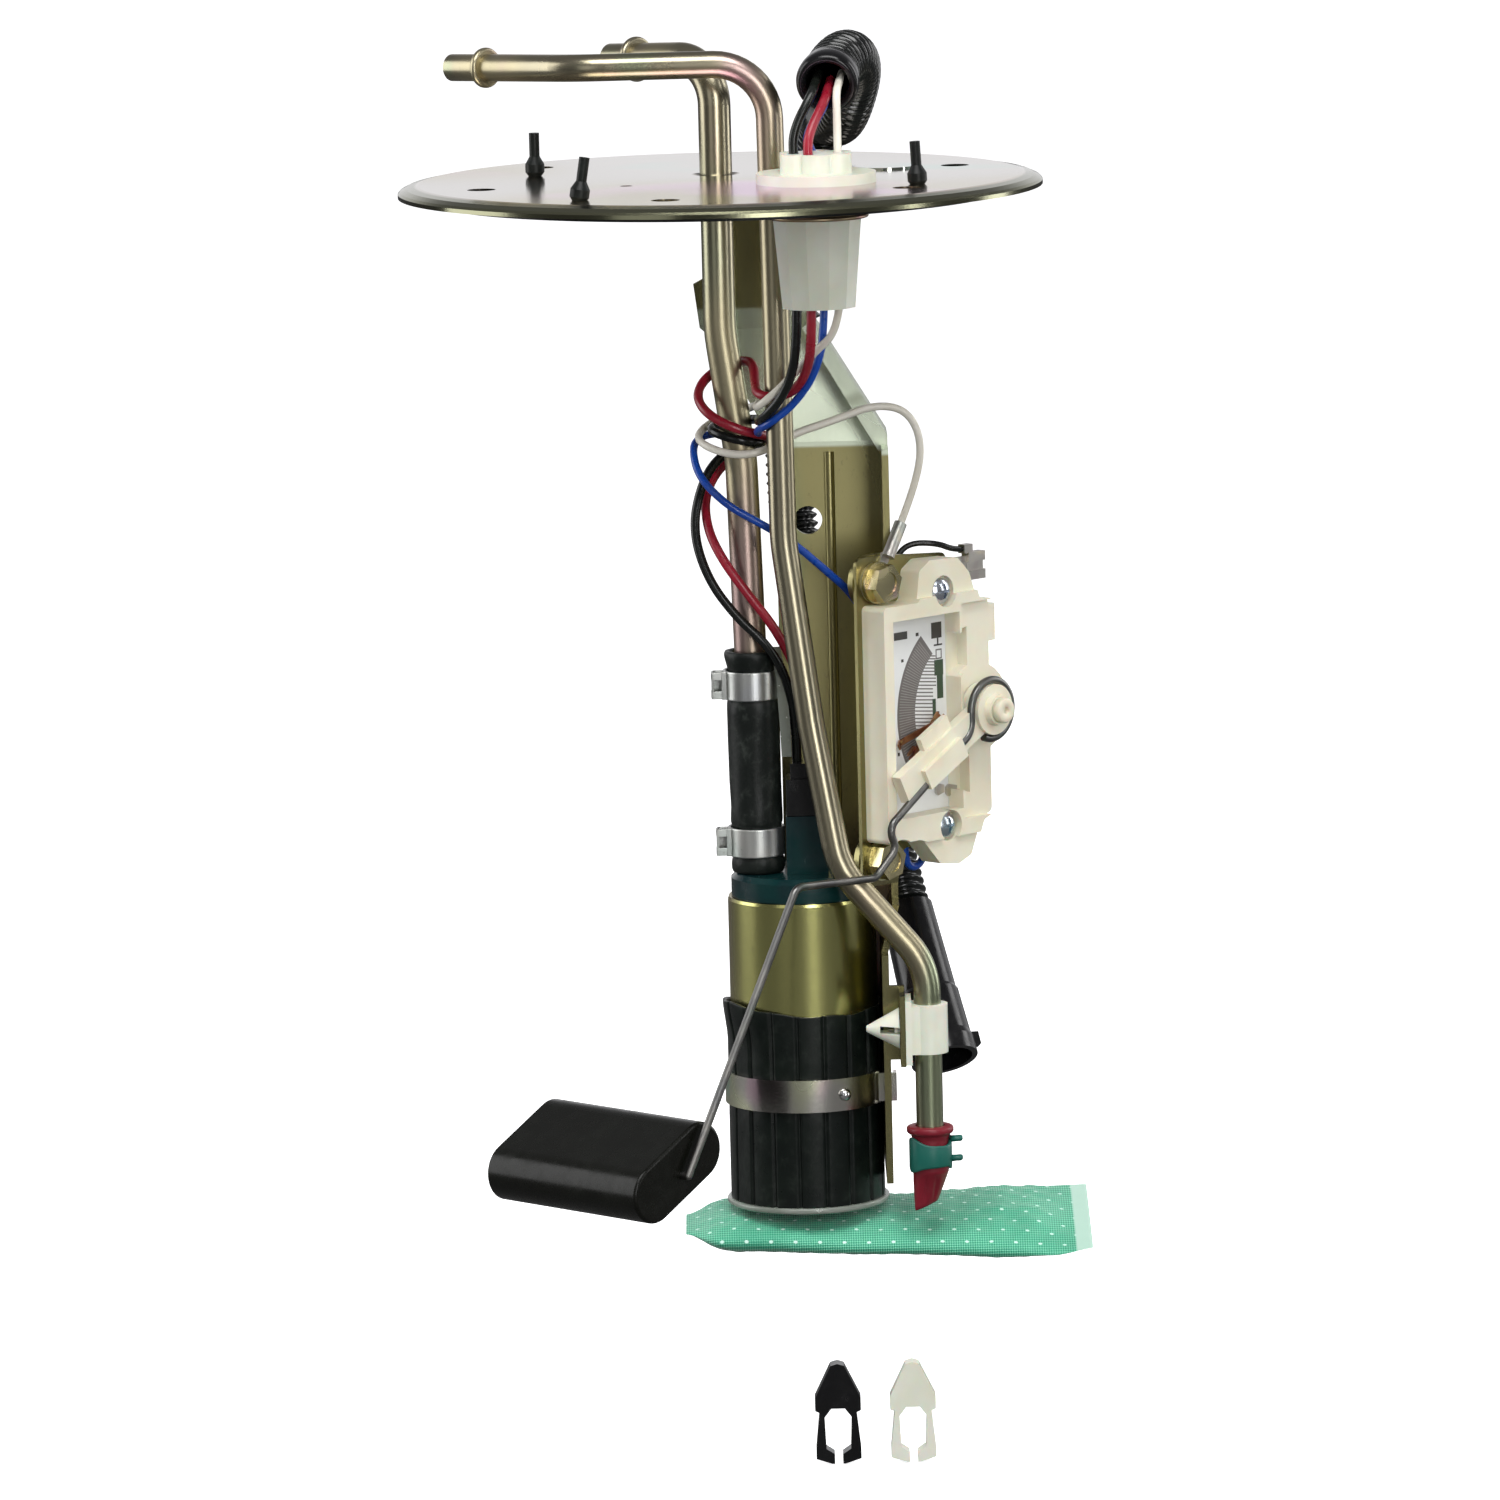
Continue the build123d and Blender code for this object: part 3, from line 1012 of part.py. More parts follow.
PARTS = {
    "flange_plate": flange_plate,
    "flange_gasket": flange_gasket,
    "supply_tube": supply_tube,
    "return_tube": return_tube,
    "connector_body": connector_body,
    "connector_ring": connector_ring,
    "connector_pins": connector_pins,
    "bracket_rail": bracket_rail,
    "pump_strap": pump_strap,
    "strap_rivet": strap_rivet,
    "pump_can": pump_can,
    "isolator_sleeve": isolator_sleeve,
    "pump_end_cap": pump_end_cap,
    "pump_terminals": pump_terminals,
    "pump_inlet": pump_inlet,
    "pump_magnets": magnets,
    "armature": armature,
    "commutator": commutator,
    "rotor_shaft": shaft,
    "shaft_bushes": shaft_bushes,
    "impeller": impeller,
    "brushes": brushes,
    "brush_springs": brush_springs,
    "check_valve": check_valve,
    "valve_spring": valve_spring,
    "pump_plug": pump_plug,
    "strainer_collar": strainer_collar,
    "strainer_sock": strainer_sock,
    "strainer_frame": strainer_frame,
    "fuel_hose": fuel_hose,
    "hose_clamps": hose_clamps,
    "sender_plate": sender_plate,
    "sender_housing": sender_housing,
    "resistor_card": resistor_card,
    "sender_bolts": sender_bolts,
    "sender_screws": sender_screws,
    "sender_blade": sender_blade,
    "blade_receptacle": blade_receptacle,
    "ring_terminal": ring_terminal,
    "float_arm": float_arm,
    "wiper_carrier": wiper_carrier,
    "wiper_contacts": wiper_contacts,
    "float": float_body,
    "return_clip": return_clip,
    "duckbill_valve": duckbill_valve,
    "valve_band": valve_band,
    "outer_leads": outer_leads,
    "loom": loom,
    "harness_plug": harness_plug,
    "plug_pins": plug_pins,
    "lead_black": lambda: lead("lead_black", BLACK_ROUTE, LEAD_R),
    "lead_red": lambda: lead("lead_red", RED_ROUTE, LEAD_R),
    "lead_blue": lambda: lead("lead_blue", BLUE_ROUTE, THIN_LEAD_R),
    "lead_white": lambda: lead("lead_white", WHITE_ROUTE, THIN_LEAD_R),
    "ground_jumper": ground_jumper,
    "loose_clip_black": lambda: loose_clip(25.6),
    "loose_clip_white": lambda: loose_clip(47.6),
}

for node, make in PARTS.items():
    export_step(make(), f"parts/{node}.step")
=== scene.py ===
# %% [markdown]
# # An in-tank fuel pump module, dressed in Blender
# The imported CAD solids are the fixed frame. They give the sheet metal, the tubes and the
# moulded parts their exact places. This lesson adds what the solids leave plain: the ribbed
# conduit, the leads, the woven strainer, the rubber parts and every finish.

# %% Load the frame and keep its size
import math

import bmesh
import bpy
from mathutils import Matrix, Vector


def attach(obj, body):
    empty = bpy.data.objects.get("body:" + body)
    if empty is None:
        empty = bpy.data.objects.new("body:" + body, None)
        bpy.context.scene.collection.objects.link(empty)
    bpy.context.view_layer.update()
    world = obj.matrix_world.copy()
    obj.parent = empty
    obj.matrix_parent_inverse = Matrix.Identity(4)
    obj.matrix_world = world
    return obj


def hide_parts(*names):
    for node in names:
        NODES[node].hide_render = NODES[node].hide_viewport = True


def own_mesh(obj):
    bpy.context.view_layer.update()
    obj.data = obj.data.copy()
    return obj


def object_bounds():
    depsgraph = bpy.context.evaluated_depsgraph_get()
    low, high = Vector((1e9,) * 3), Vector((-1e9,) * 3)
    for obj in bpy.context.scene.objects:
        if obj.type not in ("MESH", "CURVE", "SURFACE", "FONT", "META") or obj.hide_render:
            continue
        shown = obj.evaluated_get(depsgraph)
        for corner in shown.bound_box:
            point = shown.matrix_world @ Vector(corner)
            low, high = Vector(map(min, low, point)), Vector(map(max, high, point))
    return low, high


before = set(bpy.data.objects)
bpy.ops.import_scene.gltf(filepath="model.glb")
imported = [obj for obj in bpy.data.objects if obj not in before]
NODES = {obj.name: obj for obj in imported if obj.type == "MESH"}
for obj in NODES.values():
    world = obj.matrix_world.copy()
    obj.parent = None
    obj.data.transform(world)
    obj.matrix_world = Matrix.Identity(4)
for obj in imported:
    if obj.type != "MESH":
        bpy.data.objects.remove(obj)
CAD_BOX = [list(corner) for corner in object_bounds()]
MM = 0.001

# %% [markdown]
# The camera stands 2.7 m away with a long lens, a little above the flange, so the round
# plate shows as a thin ellipse. Its axes are written out, because a small roll is easier
# to read as a matrix than as three angles.

# %% Camera
TILT, ROLL = math.radians(8.51), math.radians(1.42)
CAMERA_AT, LENS_MM, SENSOR_MM, FARTHEST = (0.00458, -2.67013, 0.23354), 221.5, 36.0, 40.0
right = Vector((1, 0, 0))
ahead = Vector((0, math.cos(TILT), -math.sin(TILT)))
upward = Vector((0, math.sin(TILT), math.cos(TILT)))
camera_x = right * math.cos(ROLL) - upward * math.sin(ROLL)
camera_y = right * math.sin(ROLL) + upward * math.cos(ROLL)
lens = bpy.data.cameras.new("camera")
lens.lens, lens.sensor_width, lens.clip_end = LENS_MM, SENSOR_MM, FARTHEST
camera = bpy.data.objects.new("camera", lens)
turned_by = Matrix((camera_x, camera_y, -ahead)).transposed().to_4x4()
camera.matrix_world = Matrix.Translation(CAMERA_AT) @ turned_by
bpy.context.scene.collection.objects.link(camera)
bpy.context.scene.camera = camera
print("camera at", [round(v, 3) for v in camera.location])

# %% [markdown]
# A lead or a hose starts as one smooth NURBS curve through a few control points. The
# curve's bevel gives it thickness, so the same few points set its whole shape.

# %% Curves for leads
def mm(points):
    return [Vector(p) * MM for p in points]


def lead_curve(name, points, radius, segments=8):
    """A round lead along a smooth curve, in millimetres."""
    data = bpy.data.curves.new(name, "CURVE")
    data.dimensions = "3D"
    data.bevel_depth, data.bevel_resolution, data.use_fill_caps = radius * MM, 3, True
    data.resolution_u = segments
    spline = data.splines.new("NURBS")
    spline.points.add(len(points) - 1)
    for spot, place in zip(spline.points, mm(points)):
        spot.co = (*place, 1.0)
    spline.order_u = 3
    spline.use_endpoint_u = True
    obj = bpy.data.objects.new(name, data)
    bpy.context.scene.collection.objects.link(obj)
    return obj


def plain_mesh(obj, name=None):
    """The evaluated shape of an object as a plain mesh object with no modifier."""
    depsgraph = bpy.context.evaluated_depsgraph_get()
    mesh = bpy.data.meshes.new_from_object(obj.evaluated_get(depsgraph), depsgraph=depsgraph)
    made = bpy.data.objects.new(name or obj.name, mesh)
    bpy.context.scene.collection.objects.link(made)
    return made


def route_points(points):
    """The smooth line itself, read from the same curve without thickness."""
    bare = lead_curve("route", points, 1.0)
    bare.data.bevel_depth = 0.0
    line = plain_mesh(bare, "route_line")
    spots = [v.co.copy() for v in line.data.vertices]
    bpy.data.objects.remove(line)
    bpy.data.objects.remove(bare)
    return spots

# %% [markdown]
# Plating and the moulded skin, with its grain and its patches of dust or bloom, are each used by many finishes,
# so each is one shader node group with named inputs. A group only puts out colours, roughness and a
# normal; the Principled shader itself stays in every material.

# %% Helpers for node trees
SURFACE = [("Color", "Color"), ("Roughness", "Float"), ("Normal", "Vector")]


def set_or_link(tree, value, socket):
    if hasattr(value, "is_output"):
        tree.links.new(value, socket)
    else:
        socket.default_value = value


def node_with(tree, kind, **inputs):
    """A node with its inputs set or linked; an underscore stands for a space in a label."""
    node = tree.nodes.new(kind)
    for label, value in inputs.items():
        set_or_link(tree, value, node.inputs[label.replace("_", " ")])
    return node


def add_socket(tree, side, label, kind, value=None):
    socket = tree.interface.new_socket(label, in_out=side, socket_type="NodeSocket" + kind)
    if value is not None:
        socket.default_value = value


def shader_group(name, inputs):
    """A group that takes a vector and the given inputs and puts out what a surface needs."""
    tree = bpy.data.node_groups.new(name, "ShaderNodeTree")
    add_socket(tree, "INPUT", "Vector", "Vector")
    for label, value in inputs.items():
        if isinstance(value, tuple):
            add_socket(tree, "INPUT", label, "Color", (*value, 1.0))
        else:
            add_socket(tree, "INPUT", label, "Float", value)
    for label, kind in SURFACE:
        add_socket(tree, "OUTPUT", label, kind)
    return tree, tree.nodes.new("NodeGroupInput").outputs


def put_out(tree, *values):
    """Links a group's colour, roughness and normal to its outputs."""
    out = tree.nodes.new("NodeGroupOutput")
    for (label, kind), value in zip(SURFACE, values):
        tree.links.new(value, out.inputs[label])
    print("group", tree.name, "with", len(tree.nodes), "nodes")
    return tree


def maths(tree, operation, a, b=None):
    node = tree.nodes.new("ShaderNodeMath")
    node.operation = operation
    set_or_link(tree, a, node.inputs[0])
    if b is not None:
        set_or_link(tree, b, node.inputs[1])
    return node.outputs[0]


def noise(tree, vector, scale, detail=2.0, rough=0.5):
    node = node_with(tree, "ShaderNodeTexNoise", Vector=vector, Scale=scale, Detail=detail, Roughness=rough)
    return node.outputs["Fac"]


def mix(tree, factor, a, b):
    node = tree.nodes.new("ShaderNodeMix")
    node.data_type = "RGBA"
    set_or_link(tree, factor, node.inputs[0])
    for colour, socket in ((a, node.inputs[6]), (b, node.inputs[7])):
        set_or_link(tree, (*colour, 1.0) if isinstance(colour, tuple) else colour, socket)
    return node.outputs[2]


def span(tree, value, low, high, to_low=0.0, to_high=1.0):
    node = node_with(
        tree, "ShaderNodeMapRange", Value=value, From_Min=low, From_Max=high, To_Min=to_low, To_Max=to_high,
    )
    node.interpolation_type = "SMOOTHSTEP"
    return node.outputs["Result"]


def stretch(tree, vector, scale):
    return node_with(tree, "ShaderNodeMapping", Vector=vector, Scale=scale).outputs["Vector"]


def relief(tree, height, strength, distance=0.0004):
    node = node_with(tree, "ShaderNodeBump", Height=height, Strength=strength, Distance=distance)
    return node.outputs["Normal"]


# %% [markdown]
# Yellow zinc plating is a very thin film, so its colour drifts between olive, gold, pink
# and green over a few centimetres. Two noises of different size pick between four tints,
# and a fine one scatters small stains and scratches.

# %% Plating
def plating_group():
    tree, given = shader_group("plating", {
        "Scale": 22.0, "Base": (0.5, 0.5, 0.3), "Gold": (0.6, 0.5, 0.3), "Blush": (0.6, 0.4, 0.5),
        "Green": (0.3, 0.5, 0.3), "Roughness": 0.25, "Relief": 0.05,
    })
    vector, scale = given["Vector"], given["Scale"]
    broad = noise(tree, vector, scale, 1.0)
    uneven = noise(tree, stretch(tree, vector, (1.0, 1.4, 0.6)), scale)
    tint = mix(tree, span(tree, broad, 0.46, 0.6), given["Base"], given["Gold"])
    tint = mix(tree, span(tree, uneven, 0.55, 0.68), tint, given["Blush"])
    tint = mix(tree, span(tree, uneven, 0.42, 0.30), tint, given["Green"])
    speck = noise(tree, vector, 900.0, 3.0, 0.7)
    stained = mix(tree, span(tree, speck, 0.62, 0.75, 0.0, 0.35), tint, (0.12, 0.11, 0.08))
    rough = maths(tree, "ADD", given["Roughness"], span(tree, broad, 0.35, 0.7, -0.04, 0.08))
    return put_out(tree, stained, rough, relief(tree, speck, given["Relief"]))


PLATING = plating_group()

# %% [markdown]
# Moulded plastic and rubber are one colour only from far away. Near, the colour drifts
# a little, the skin has a fine grain, and dust or bloom lies on it in patches.

# %% Moulded skin
def skin_group():
    tree, given = shader_group("moulded_skin", {
        "Grain": 1400.0, "Base": (0.8, 0.8, 0.75), "Shade": (0.7, 0.7, 0.6), "Dust": (0.5, 0.5, 0.5),
        "Dust Amount": 0.1, "Roughness": 0.4, "Relief": 0.1,
    })
    vector = given["Vector"]
    tint = mix(tree, span(tree, noise(tree, vector, 60.0), 0.4, 0.65), given["Base"], given["Shade"])
    patch = noise(tree, vector, 240.0, 5.0, 0.65)
    tint = mix(tree, span(tree, patch, 0.5, 0.8, 0.0, given["Dust Amount"]), tint, given["Dust"])
    grain = noise(tree, vector, given["Grain"], 2.0, 0.6)
    rough = maths(tree, "ADD", given["Roughness"], span(tree, patch, 0.3, 0.8, -0.05, 0.1))
    return put_out(tree, tint, rough, relief(tree, grain, given["Relief"], 0.0002))


SKIN = skin_group()

# %% Materials from the two groups
def finish_from(group, name, metallic, values, stretch_by=(1, 1, 1), **shader):
    """A Principled material fed by a group on Object coordinates."""
    material = bpy.data.materials.new(name)
    material.use_nodes = True
    tree = material.node_tree
    principled = tree.nodes["Principled BSDF"]
    coordinates = tree.nodes.new("ShaderNodeTexCoord")
    effect = tree.nodes.new("ShaderNodeGroup")
    effect.node_tree = group
    tree.links.new(stretch(tree, coordinates.outputs["Object"], stretch_by), effect.inputs["Vector"])
    for label, value in values.items():
        effect.inputs[label].default_value = (*value, 1.0) if isinstance(value, tuple) else value
    for label, kind in SURFACE:
        tree.links.new(effect.outputs[label], principled.inputs["Base Color" if kind == "Color" else label])
    principled.inputs["Metallic"].default_value = metallic
    for label, value in shader.items():
        principled.inputs[label.replace("_", " ")].default_value = value
    return material


def plated(name, base, gold, blush, green, rough=0.25, scale=22.0, stretch_by=(1, 1, 1)):
    return finish_from(
        PLATING, name, 1.0,
        {"Base": base, "Gold": gold, "Blush": blush, "Green": green, "Roughness": rough, "Scale": scale},
        stretch_by,
    )


def moulded(name, base, shade, dust, amount, rough, relief_by, grain=1400.0, specular=0.5, **shader):
    return finish_from(
        SKIN, name, 0.0,
        {"Base": base, "Shade": shade, "Dust": dust, "Dust Amount": amount, "Roughness": rough,
         "Relief": relief_by, "Grain": grain}, Specular_IOR_Level=specular, **shader,
    )


# Each row: the finish, its material, base, gold, blush and green tints, roughness, patch
# scale and, where the patches are drawn out along the piece, their stretch.
PLATED = {
    "plate": (
        "plate_zinc", (0.54, 0.5, 0.45), (0.56, 0.5, 0.36), (0.76, 0.52, 0.7), (0.34, 0.56, 0.47), 0.13, 7.0,
    ),
    "tube": (
        "tube_zinc", (0.3, 0.27, 0.19), (0.36, 0.32, 0.21), (0.36, 0.26, 0.24), (0.26, 0.29, 0.19), 0.3, 30.0,
        (1, 1, 0.3),
    ),
    "rail": (
        "rail_zinc", (0.25, 0.23, 0.11), (0.31, 0.28, 0.13), (0.29, 0.21, 0.18), (0.22, 0.27, 0.16), 0.26,
        16.0, (1, 1, 0.5),
    ),
    "strap": (
        "strap_zinc", (0.52, 0.5, 0.46), (0.54, 0.55, 0.4), (0.6, 0.45, 0.5), (0.42, 0.55, 0.42), 0.22, 45.0,
    ),
    "can": (
        "can_zinc", (0.42, 0.41, 0.16), (0.5, 0.47, 0.2), (0.36, 0.31, 0.17), (0.3, 0.37, 0.16), 0.25, 14.0,
        (1, 1, 0.4),
    ),
    "ring": (
        "ring_zinc", (0.26, 0.2, 0.13), (0.34, 0.26, 0.16), (0.3, 0.18, 0.15), (0.22, 0.2, 0.12), 0.3, 60.0,
    ),
    "bolt": (
        "bolt_zinc", (0.62, 0.56, 0.32), (0.7, 0.62, 0.36), (0.6, 0.46, 0.42), (0.5, 0.58, 0.36), 0.25, 90.0,
    ),
    "screw": (
        "screw_zinc", (0.56, 0.6, 0.66), (0.62, 0.64, 0.66), (0.52, 0.56, 0.7), (0.5, 0.62, 0.66), 0.25, 90.0,
    ),
    "clamp": (
        "clamp_zinc", (0.5, 0.51, 0.49), (0.56, 0.56, 0.53), (0.46, 0.47, 0.48), (0.48, 0.52, 0.49), 0.34,
        60.0,
    ),
    "wire": (
        "arm_wire", (0.13, 0.13, 0.125), (0.17, 0.165, 0.155), (0.12, 0.12, 0.12), (0.13, 0.145, 0.13), 0.34,
        80.0,
    ),
    "bright": (
        "bright_steel", (0.62, 0.62, 0.62), (0.66, 0.65, 0.63), (0.6, 0.6, 0.62), (0.6, 0.62, 0.6), 0.2, 60.0,
    ),
    "contact": (
        "contact_tin", (0.52, 0.5, 0.46), (0.6, 0.55, 0.44), (0.48, 0.44, 0.42), (0.46, 0.48, 0.44), 0.36,
        120.0,
    ),
    "copper": (
        "contact_copper", (0.42, 0.21, 0.12), (0.52, 0.28, 0.15), (0.36, 0.16, 0.1), (0.42, 0.24, 0.15), 0.3,
        120.0,
    ),
}
# Each row: the finish, its material, base, shade and dust tints, dust amount, roughness,
# relief and, where it isn't the usual 1400, the grain.
MOULDED = {
    "nylon": ("white_nylon", (0.74, 0.75, 0.65), (0.68, 0.7, 0.58), (0.55, 0.54, 0.45), 0.08, 0.34, 0.05),
    "frost": ("frosted_nylon", (0.5, 0.54, 0.48), (0.4, 0.44, 0.38), (0.6, 0.62, 0.56), 0.1, 0.2, 0.06, 240.0),
    "cream": ("cream_acetal", (0.8, 0.76, 0.61), (0.75, 0.7, 0.54), (0.6, 0.54, 0.38), 0.08, 0.4, 0.05),
    "cap": ("cap_plastic", (0.003, 0.026, 0.026), (0.003, 0.016, 0.019), (0.04, 0.08, 0.08), 0.1, 0.2, 0.05),
    "black": (
        "black_plastic", (0.004, 0.004, 0.0045), (0.006, 0.006, 0.0065), (0.05, 0.05, 0.05), 0.08, 0.2, 0.02,
    ),
    "conduit": (
        "conduit_plastic", (0.005, 0.006, 0.0055), (0.007, 0.008, 0.007), (0.05, 0.06, 0.05), 0.08, 0.16, 0.0,
    ),
    "rubber": (
        "black_rubber", (0.004, 0.005, 0.0045), (0.006, 0.008, 0.007), (0.06, 0.07, 0.06), 0.15, 0.42, 0.2,
        900.0,
    ),
    "sleeve": (
        "sleeve_rubber", (0.004, 0.006, 0.005), (0.006, 0.009, 0.007), (0.07, 0.09, 0.07), 0.12, 0.32, 0.2,
        700.0,
    ),
    "foam": (
        "float_foam", (0.004, 0.0042, 0.003), (0.005, 0.0055, 0.004), (0.02, 0.02, 0.016), 0.08, 0.26, 0.01,
        2600.0,
    ),
    "card": ("card_ceramic", (0.82, 0.83, 0.82), (0.78, 0.79, 0.78), (0.6, 0.6, 0.6), 0.05, 0.35, 0.03),
    "valve": ("valve_rubber", (0.19, 0.009, 0.02), (0.15, 0.008, 0.016), (0.3, 0.09, 0.1), 0.1, 0.4, 0.12),
    "band": ("band_teal", (0.008, 0.11, 0.085), (0.007, 0.08, 0.062), (0.08, 0.2, 0.16), 0.12, 0.4, 0.1),
    "lead_black": (
        "lead_black", (0.005, 0.006, 0.0055), (0.008, 0.01, 0.008), (0.08, 0.08, 0.07), 0.1, 0.24, 0.05,
    ),
    "lead_red": ("lead_red", (0.34, 0.01, 0.028), (0.27, 0.008, 0.022), (0.45, 0.16, 0.16), 0.1, 0.3, 0.08),
    "lead_blue": ("lead_blue", (0.005, 0.07, 0.44), (0.004, 0.05, 0.34), (0.2, 0.3, 0.5), 0.1, 0.3, 0.08),
    "lead_white": ("lead_white", (0.8, 0.77, 0.68), (0.74, 0.7, 0.6), (0.5, 0.46, 0.36), 0.15, 0.34, 0.08),
}
SPECULAR = {
    "cap": 0.3, "black": 0.3, "conduit": 0.5, "rubber": 0.2, "sleeve": 0.22, "foam": 0.18, "valve": 0.35,
    "band": 0.35, "lead_black": 0.35,
}
MILKY = {"Subsurface_Weight": 0.3, "Subsurface_Scale": 0.0015}
DEEPER = {"nylon": MILKY, "cream": MILKY, "frost": {"Transmission_Weight": 0.6}}
FINISHES = {key: plated(*row) for key, row in PLATED.items()}
for key, row in MOULDED.items():
    FINISHES[key] = moulded(*row, specular=SPECULAR.get(key, 0.5), **DEEPER.get(key, {}))
print("finishes:", len(FINISHES))

# %% Which node wears which finish
WEARS = {
    "plate": ["flange_plate"],
    "rubber": ["flange_gasket"],
    "ring": ["connector_ring"],
    "tube": ["supply_tube", "return_tube"],
    "nylon": ["connector_body", "return_clip", "strainer_frame", "loose_clip_white", "check_valve"],
    "frost": ["strainer_collar"],
    "contact": [
        "connector_pins", "pump_terminals", "sender_blade", "blade_receptacle", "ring_terminal", "plug_pins",
    ],
    "rail": ["bracket_rail", "sender_plate"],
    "strap": ["pump_strap"],
    "bright": [
        "strap_rivet", "rotor_shaft", "brush_springs", "valve_spring", "pump_magnets", "armature",
        "shaft_bushes",
    ],
    "can": ["pump_can"],
    "sleeve": ["isolator_sleeve"],
    "cap": ["pump_end_cap", "pump_inlet", "impeller"],
    "copper": ["commutator", "wiper_contacts"],
    "black": ["brushes", "pump_plug", "harness_plug", "loose_clip_black"],
    "clamp": ["hose_clamps"],
    "cream": ["sender_housing", "wiper_carrier"],
    "card": ["resistor_card"],
    "bolt": ["sender_bolts"],
    "screw": ["sender_screws"],
    "wire": ["float_arm"],
    "foam": ["float"],
}


def painted_light_zone(material, centre, axes, edge, fade, colour):
    """Tints one zone of a finish with painted light (painted shade on the plate's rim, a painted highlight on
    the rail's knee): where it is farther than edge from the centre, on the given axes.
    """
    tree = material.node_tree
    principled = tree.nodes["Principled BSDF"]
    mapped = node_with(
        tree, "ShaderNodeMapping", Vector=tree.nodes.new("ShaderNodeTexCoord").outputs["Object"],
        Location=[-c * a for c, a in zip(centre, axes)], Scale=axes,
    )
    size = tree.nodes.new("ShaderNodeVectorMath")
    size.operation = "LENGTH"
    tree.links.new(mapped.outputs["Vector"], size.inputs[0])
    mask = span(tree, size.outputs["Value"], edge - fade, edge + fade)
    source = principled.inputs["Base Color"].links[0].from_socket
    tree.links.new(mix(tree, mask, source, colour), principled.inputs["Base Color"])


# The plate's rolled rim is tinted darker than its flat: painted shade, standing in for the dark front and floor
# that the rim reflects. The rail's knee, between two bends, is tinted paler: a painted highlight, standing in
# for the top light that it reflects.
RIM_FROM, KNEE_Z, KNEE_HALF, EDGE_FADE = 0.0885, -0.061, 0.0205, 0.0006
# Painted shade: the rim's darker tint stands in for the dark surroundings that it reflects.
painted_light_zone(FINISHES["plate"], (0, 0, 0), (1, 1, 0), RIM_FROM, EDGE_FADE, (0.20, 0.20, 0.13))
# Painted highlight: the knee's paler tint stands in for the top light that it reflects.
painted_light_zone(FINISHES["rail"], (0, 0, KNEE_Z), (0, 0, 1), KNEE_HALF, -EDGE_FADE, (0.62, 0.68, 0.54))
for finish, names in WEARS.items():
    for name in names:
        NODES[name].data.materials.clear()
        NODES[name].data.materials.append(FINISHES[finish])
print("finishes on", sum(len(n) for n in WEARS.values()), "nodes")

# %% [markdown]
# The floor is a plain pale sheet just under the lowest piece. Soft boxes at the sides and
# above give the bright plating its long highlights, and the world is darker to the front,
# so that round metal shows a dark line between two bright ones.

# %% Floor and light
FLOOR_GAP, FLOOR_SIDE, FLOOR_BACK = 0.0006, 30.0, 6
FLOOR_GREY, FLOOR_SEEN, FLOOR_GLOW = 0.12, 0.88, 0.85
bpy.ops.mesh.primitive_plane_add(size=FLOOR_SIDE, location=(0, FLOOR_BACK, CAD_BOX[0][2] - FLOOR_GAP))
floor = bpy.context.object
floor.name = "floor"
floor_finish = bpy.data.materials.new("floor_paper")
floor_finish.use_nodes = True
floor_shader = floor_finish.node_tree.nodes["Principled BSDF"]
floor_shader.inputs["Roughness"].default_value = 0.95
floor_shader.inputs["Emission Color"].default_value = (1, 1, 1, 1)
paper = floor_finish.node_tree
seen = paper.nodes.new("ShaderNodeLightPath").outputs["Is Camera Ray"]
shown = mix(paper, seen, (FLOOR_GREY,) * 3, (FLOOR_SEEN,) * 3)
paper.links.new(shown, floor_shader.inputs["Base Color"])
paper.links.new(span(paper, seen, 0.0, 1.0, 0.0, FLOOR_GLOW), floor_shader.inputs["Emission Strength"])
floor.data.materials.append(floor_finish)

# Each soft box: its place, the height that it aims at, width, height and watts.
for name, place, aim_z, width, height, watts in (
    ("key_strip", (0.64, -2.2, 0.25), -0.1, 0.62, 1.4, 20),
    ("fill_card", (-1.05, -2.05, 0.25), -0.1, 0.9, 1.3, 3),
    ("left_wall", (-1.5, 0.15, 0.2), -0.12, 0.9, 1.5, 13),
    ("right_line", (1.41, -0.51, 0.2), -0.12, 0.12, 1.5, 4),
    ("right_rim", (1.4, 0.6, 0.2), -0.12, 0.4, 1.5, 8),
    ("top_box", (0.0, -1.1, 1.7), -0.1, 1.6, 1.0, 42),
):
    light = bpy.data.lights.new(name, "AREA")
    light.shape, light.size, light.size_y, light.energy = "RECTANGLE", width, height, watts
    lamp = bpy.data.objects.new(name, light)
    faces = (Vector((0, 0, aim_z)) - Vector(place)).to_track_quat("-Z", "Y").to_matrix().to_4x4()
    lamp.matrix_world = Matrix.Translation(place) @ faces
    bpy.context.scene.collection.objects.link(lamp)

world = bpy.data.worlds.new("studio")
world.use_nodes = True
bpy.context.scene.world = world
tree = world.node_tree
sky = tree.nodes.new("ShaderNodeTexCoord")
split = node_with(tree, "ShaderNodeSeparateXYZ", Vector=sky.outputs["Generated"])
shade = span(tree, split.outputs["Y"], -0.4, 0.7)
low_sky = mix(tree, shade, (0.15, 0.15, 0.15), (0.9, 0.9, 0.92))
surround = mix(tree, span(tree, split.outputs["Z"], 0.22, 0.5), low_sky, (0.24, 0.24, 0.25))
seen = tree.nodes.new("ShaderNodeLightPath").outputs["Is Camera Ray"]
tree.links.new(mix(tree, seen, surround, (1.0, 1.0, 1.0)), tree.nodes["Background"].inputs["Color"])
bpy.context.scene.view_settings.view_transform = "Standard"
bpy.context.scene.view_settings.look = "None"
print("floor at", round(floor.location.z, 4))

# %% [markdown]
# The harness outside the tank is a split, ribbed conduit over four leads. The conduit's
# ribs repeat along its line, so Geometry Nodes sweeps a ring whose size rises and falls
# with the distance along the curve.

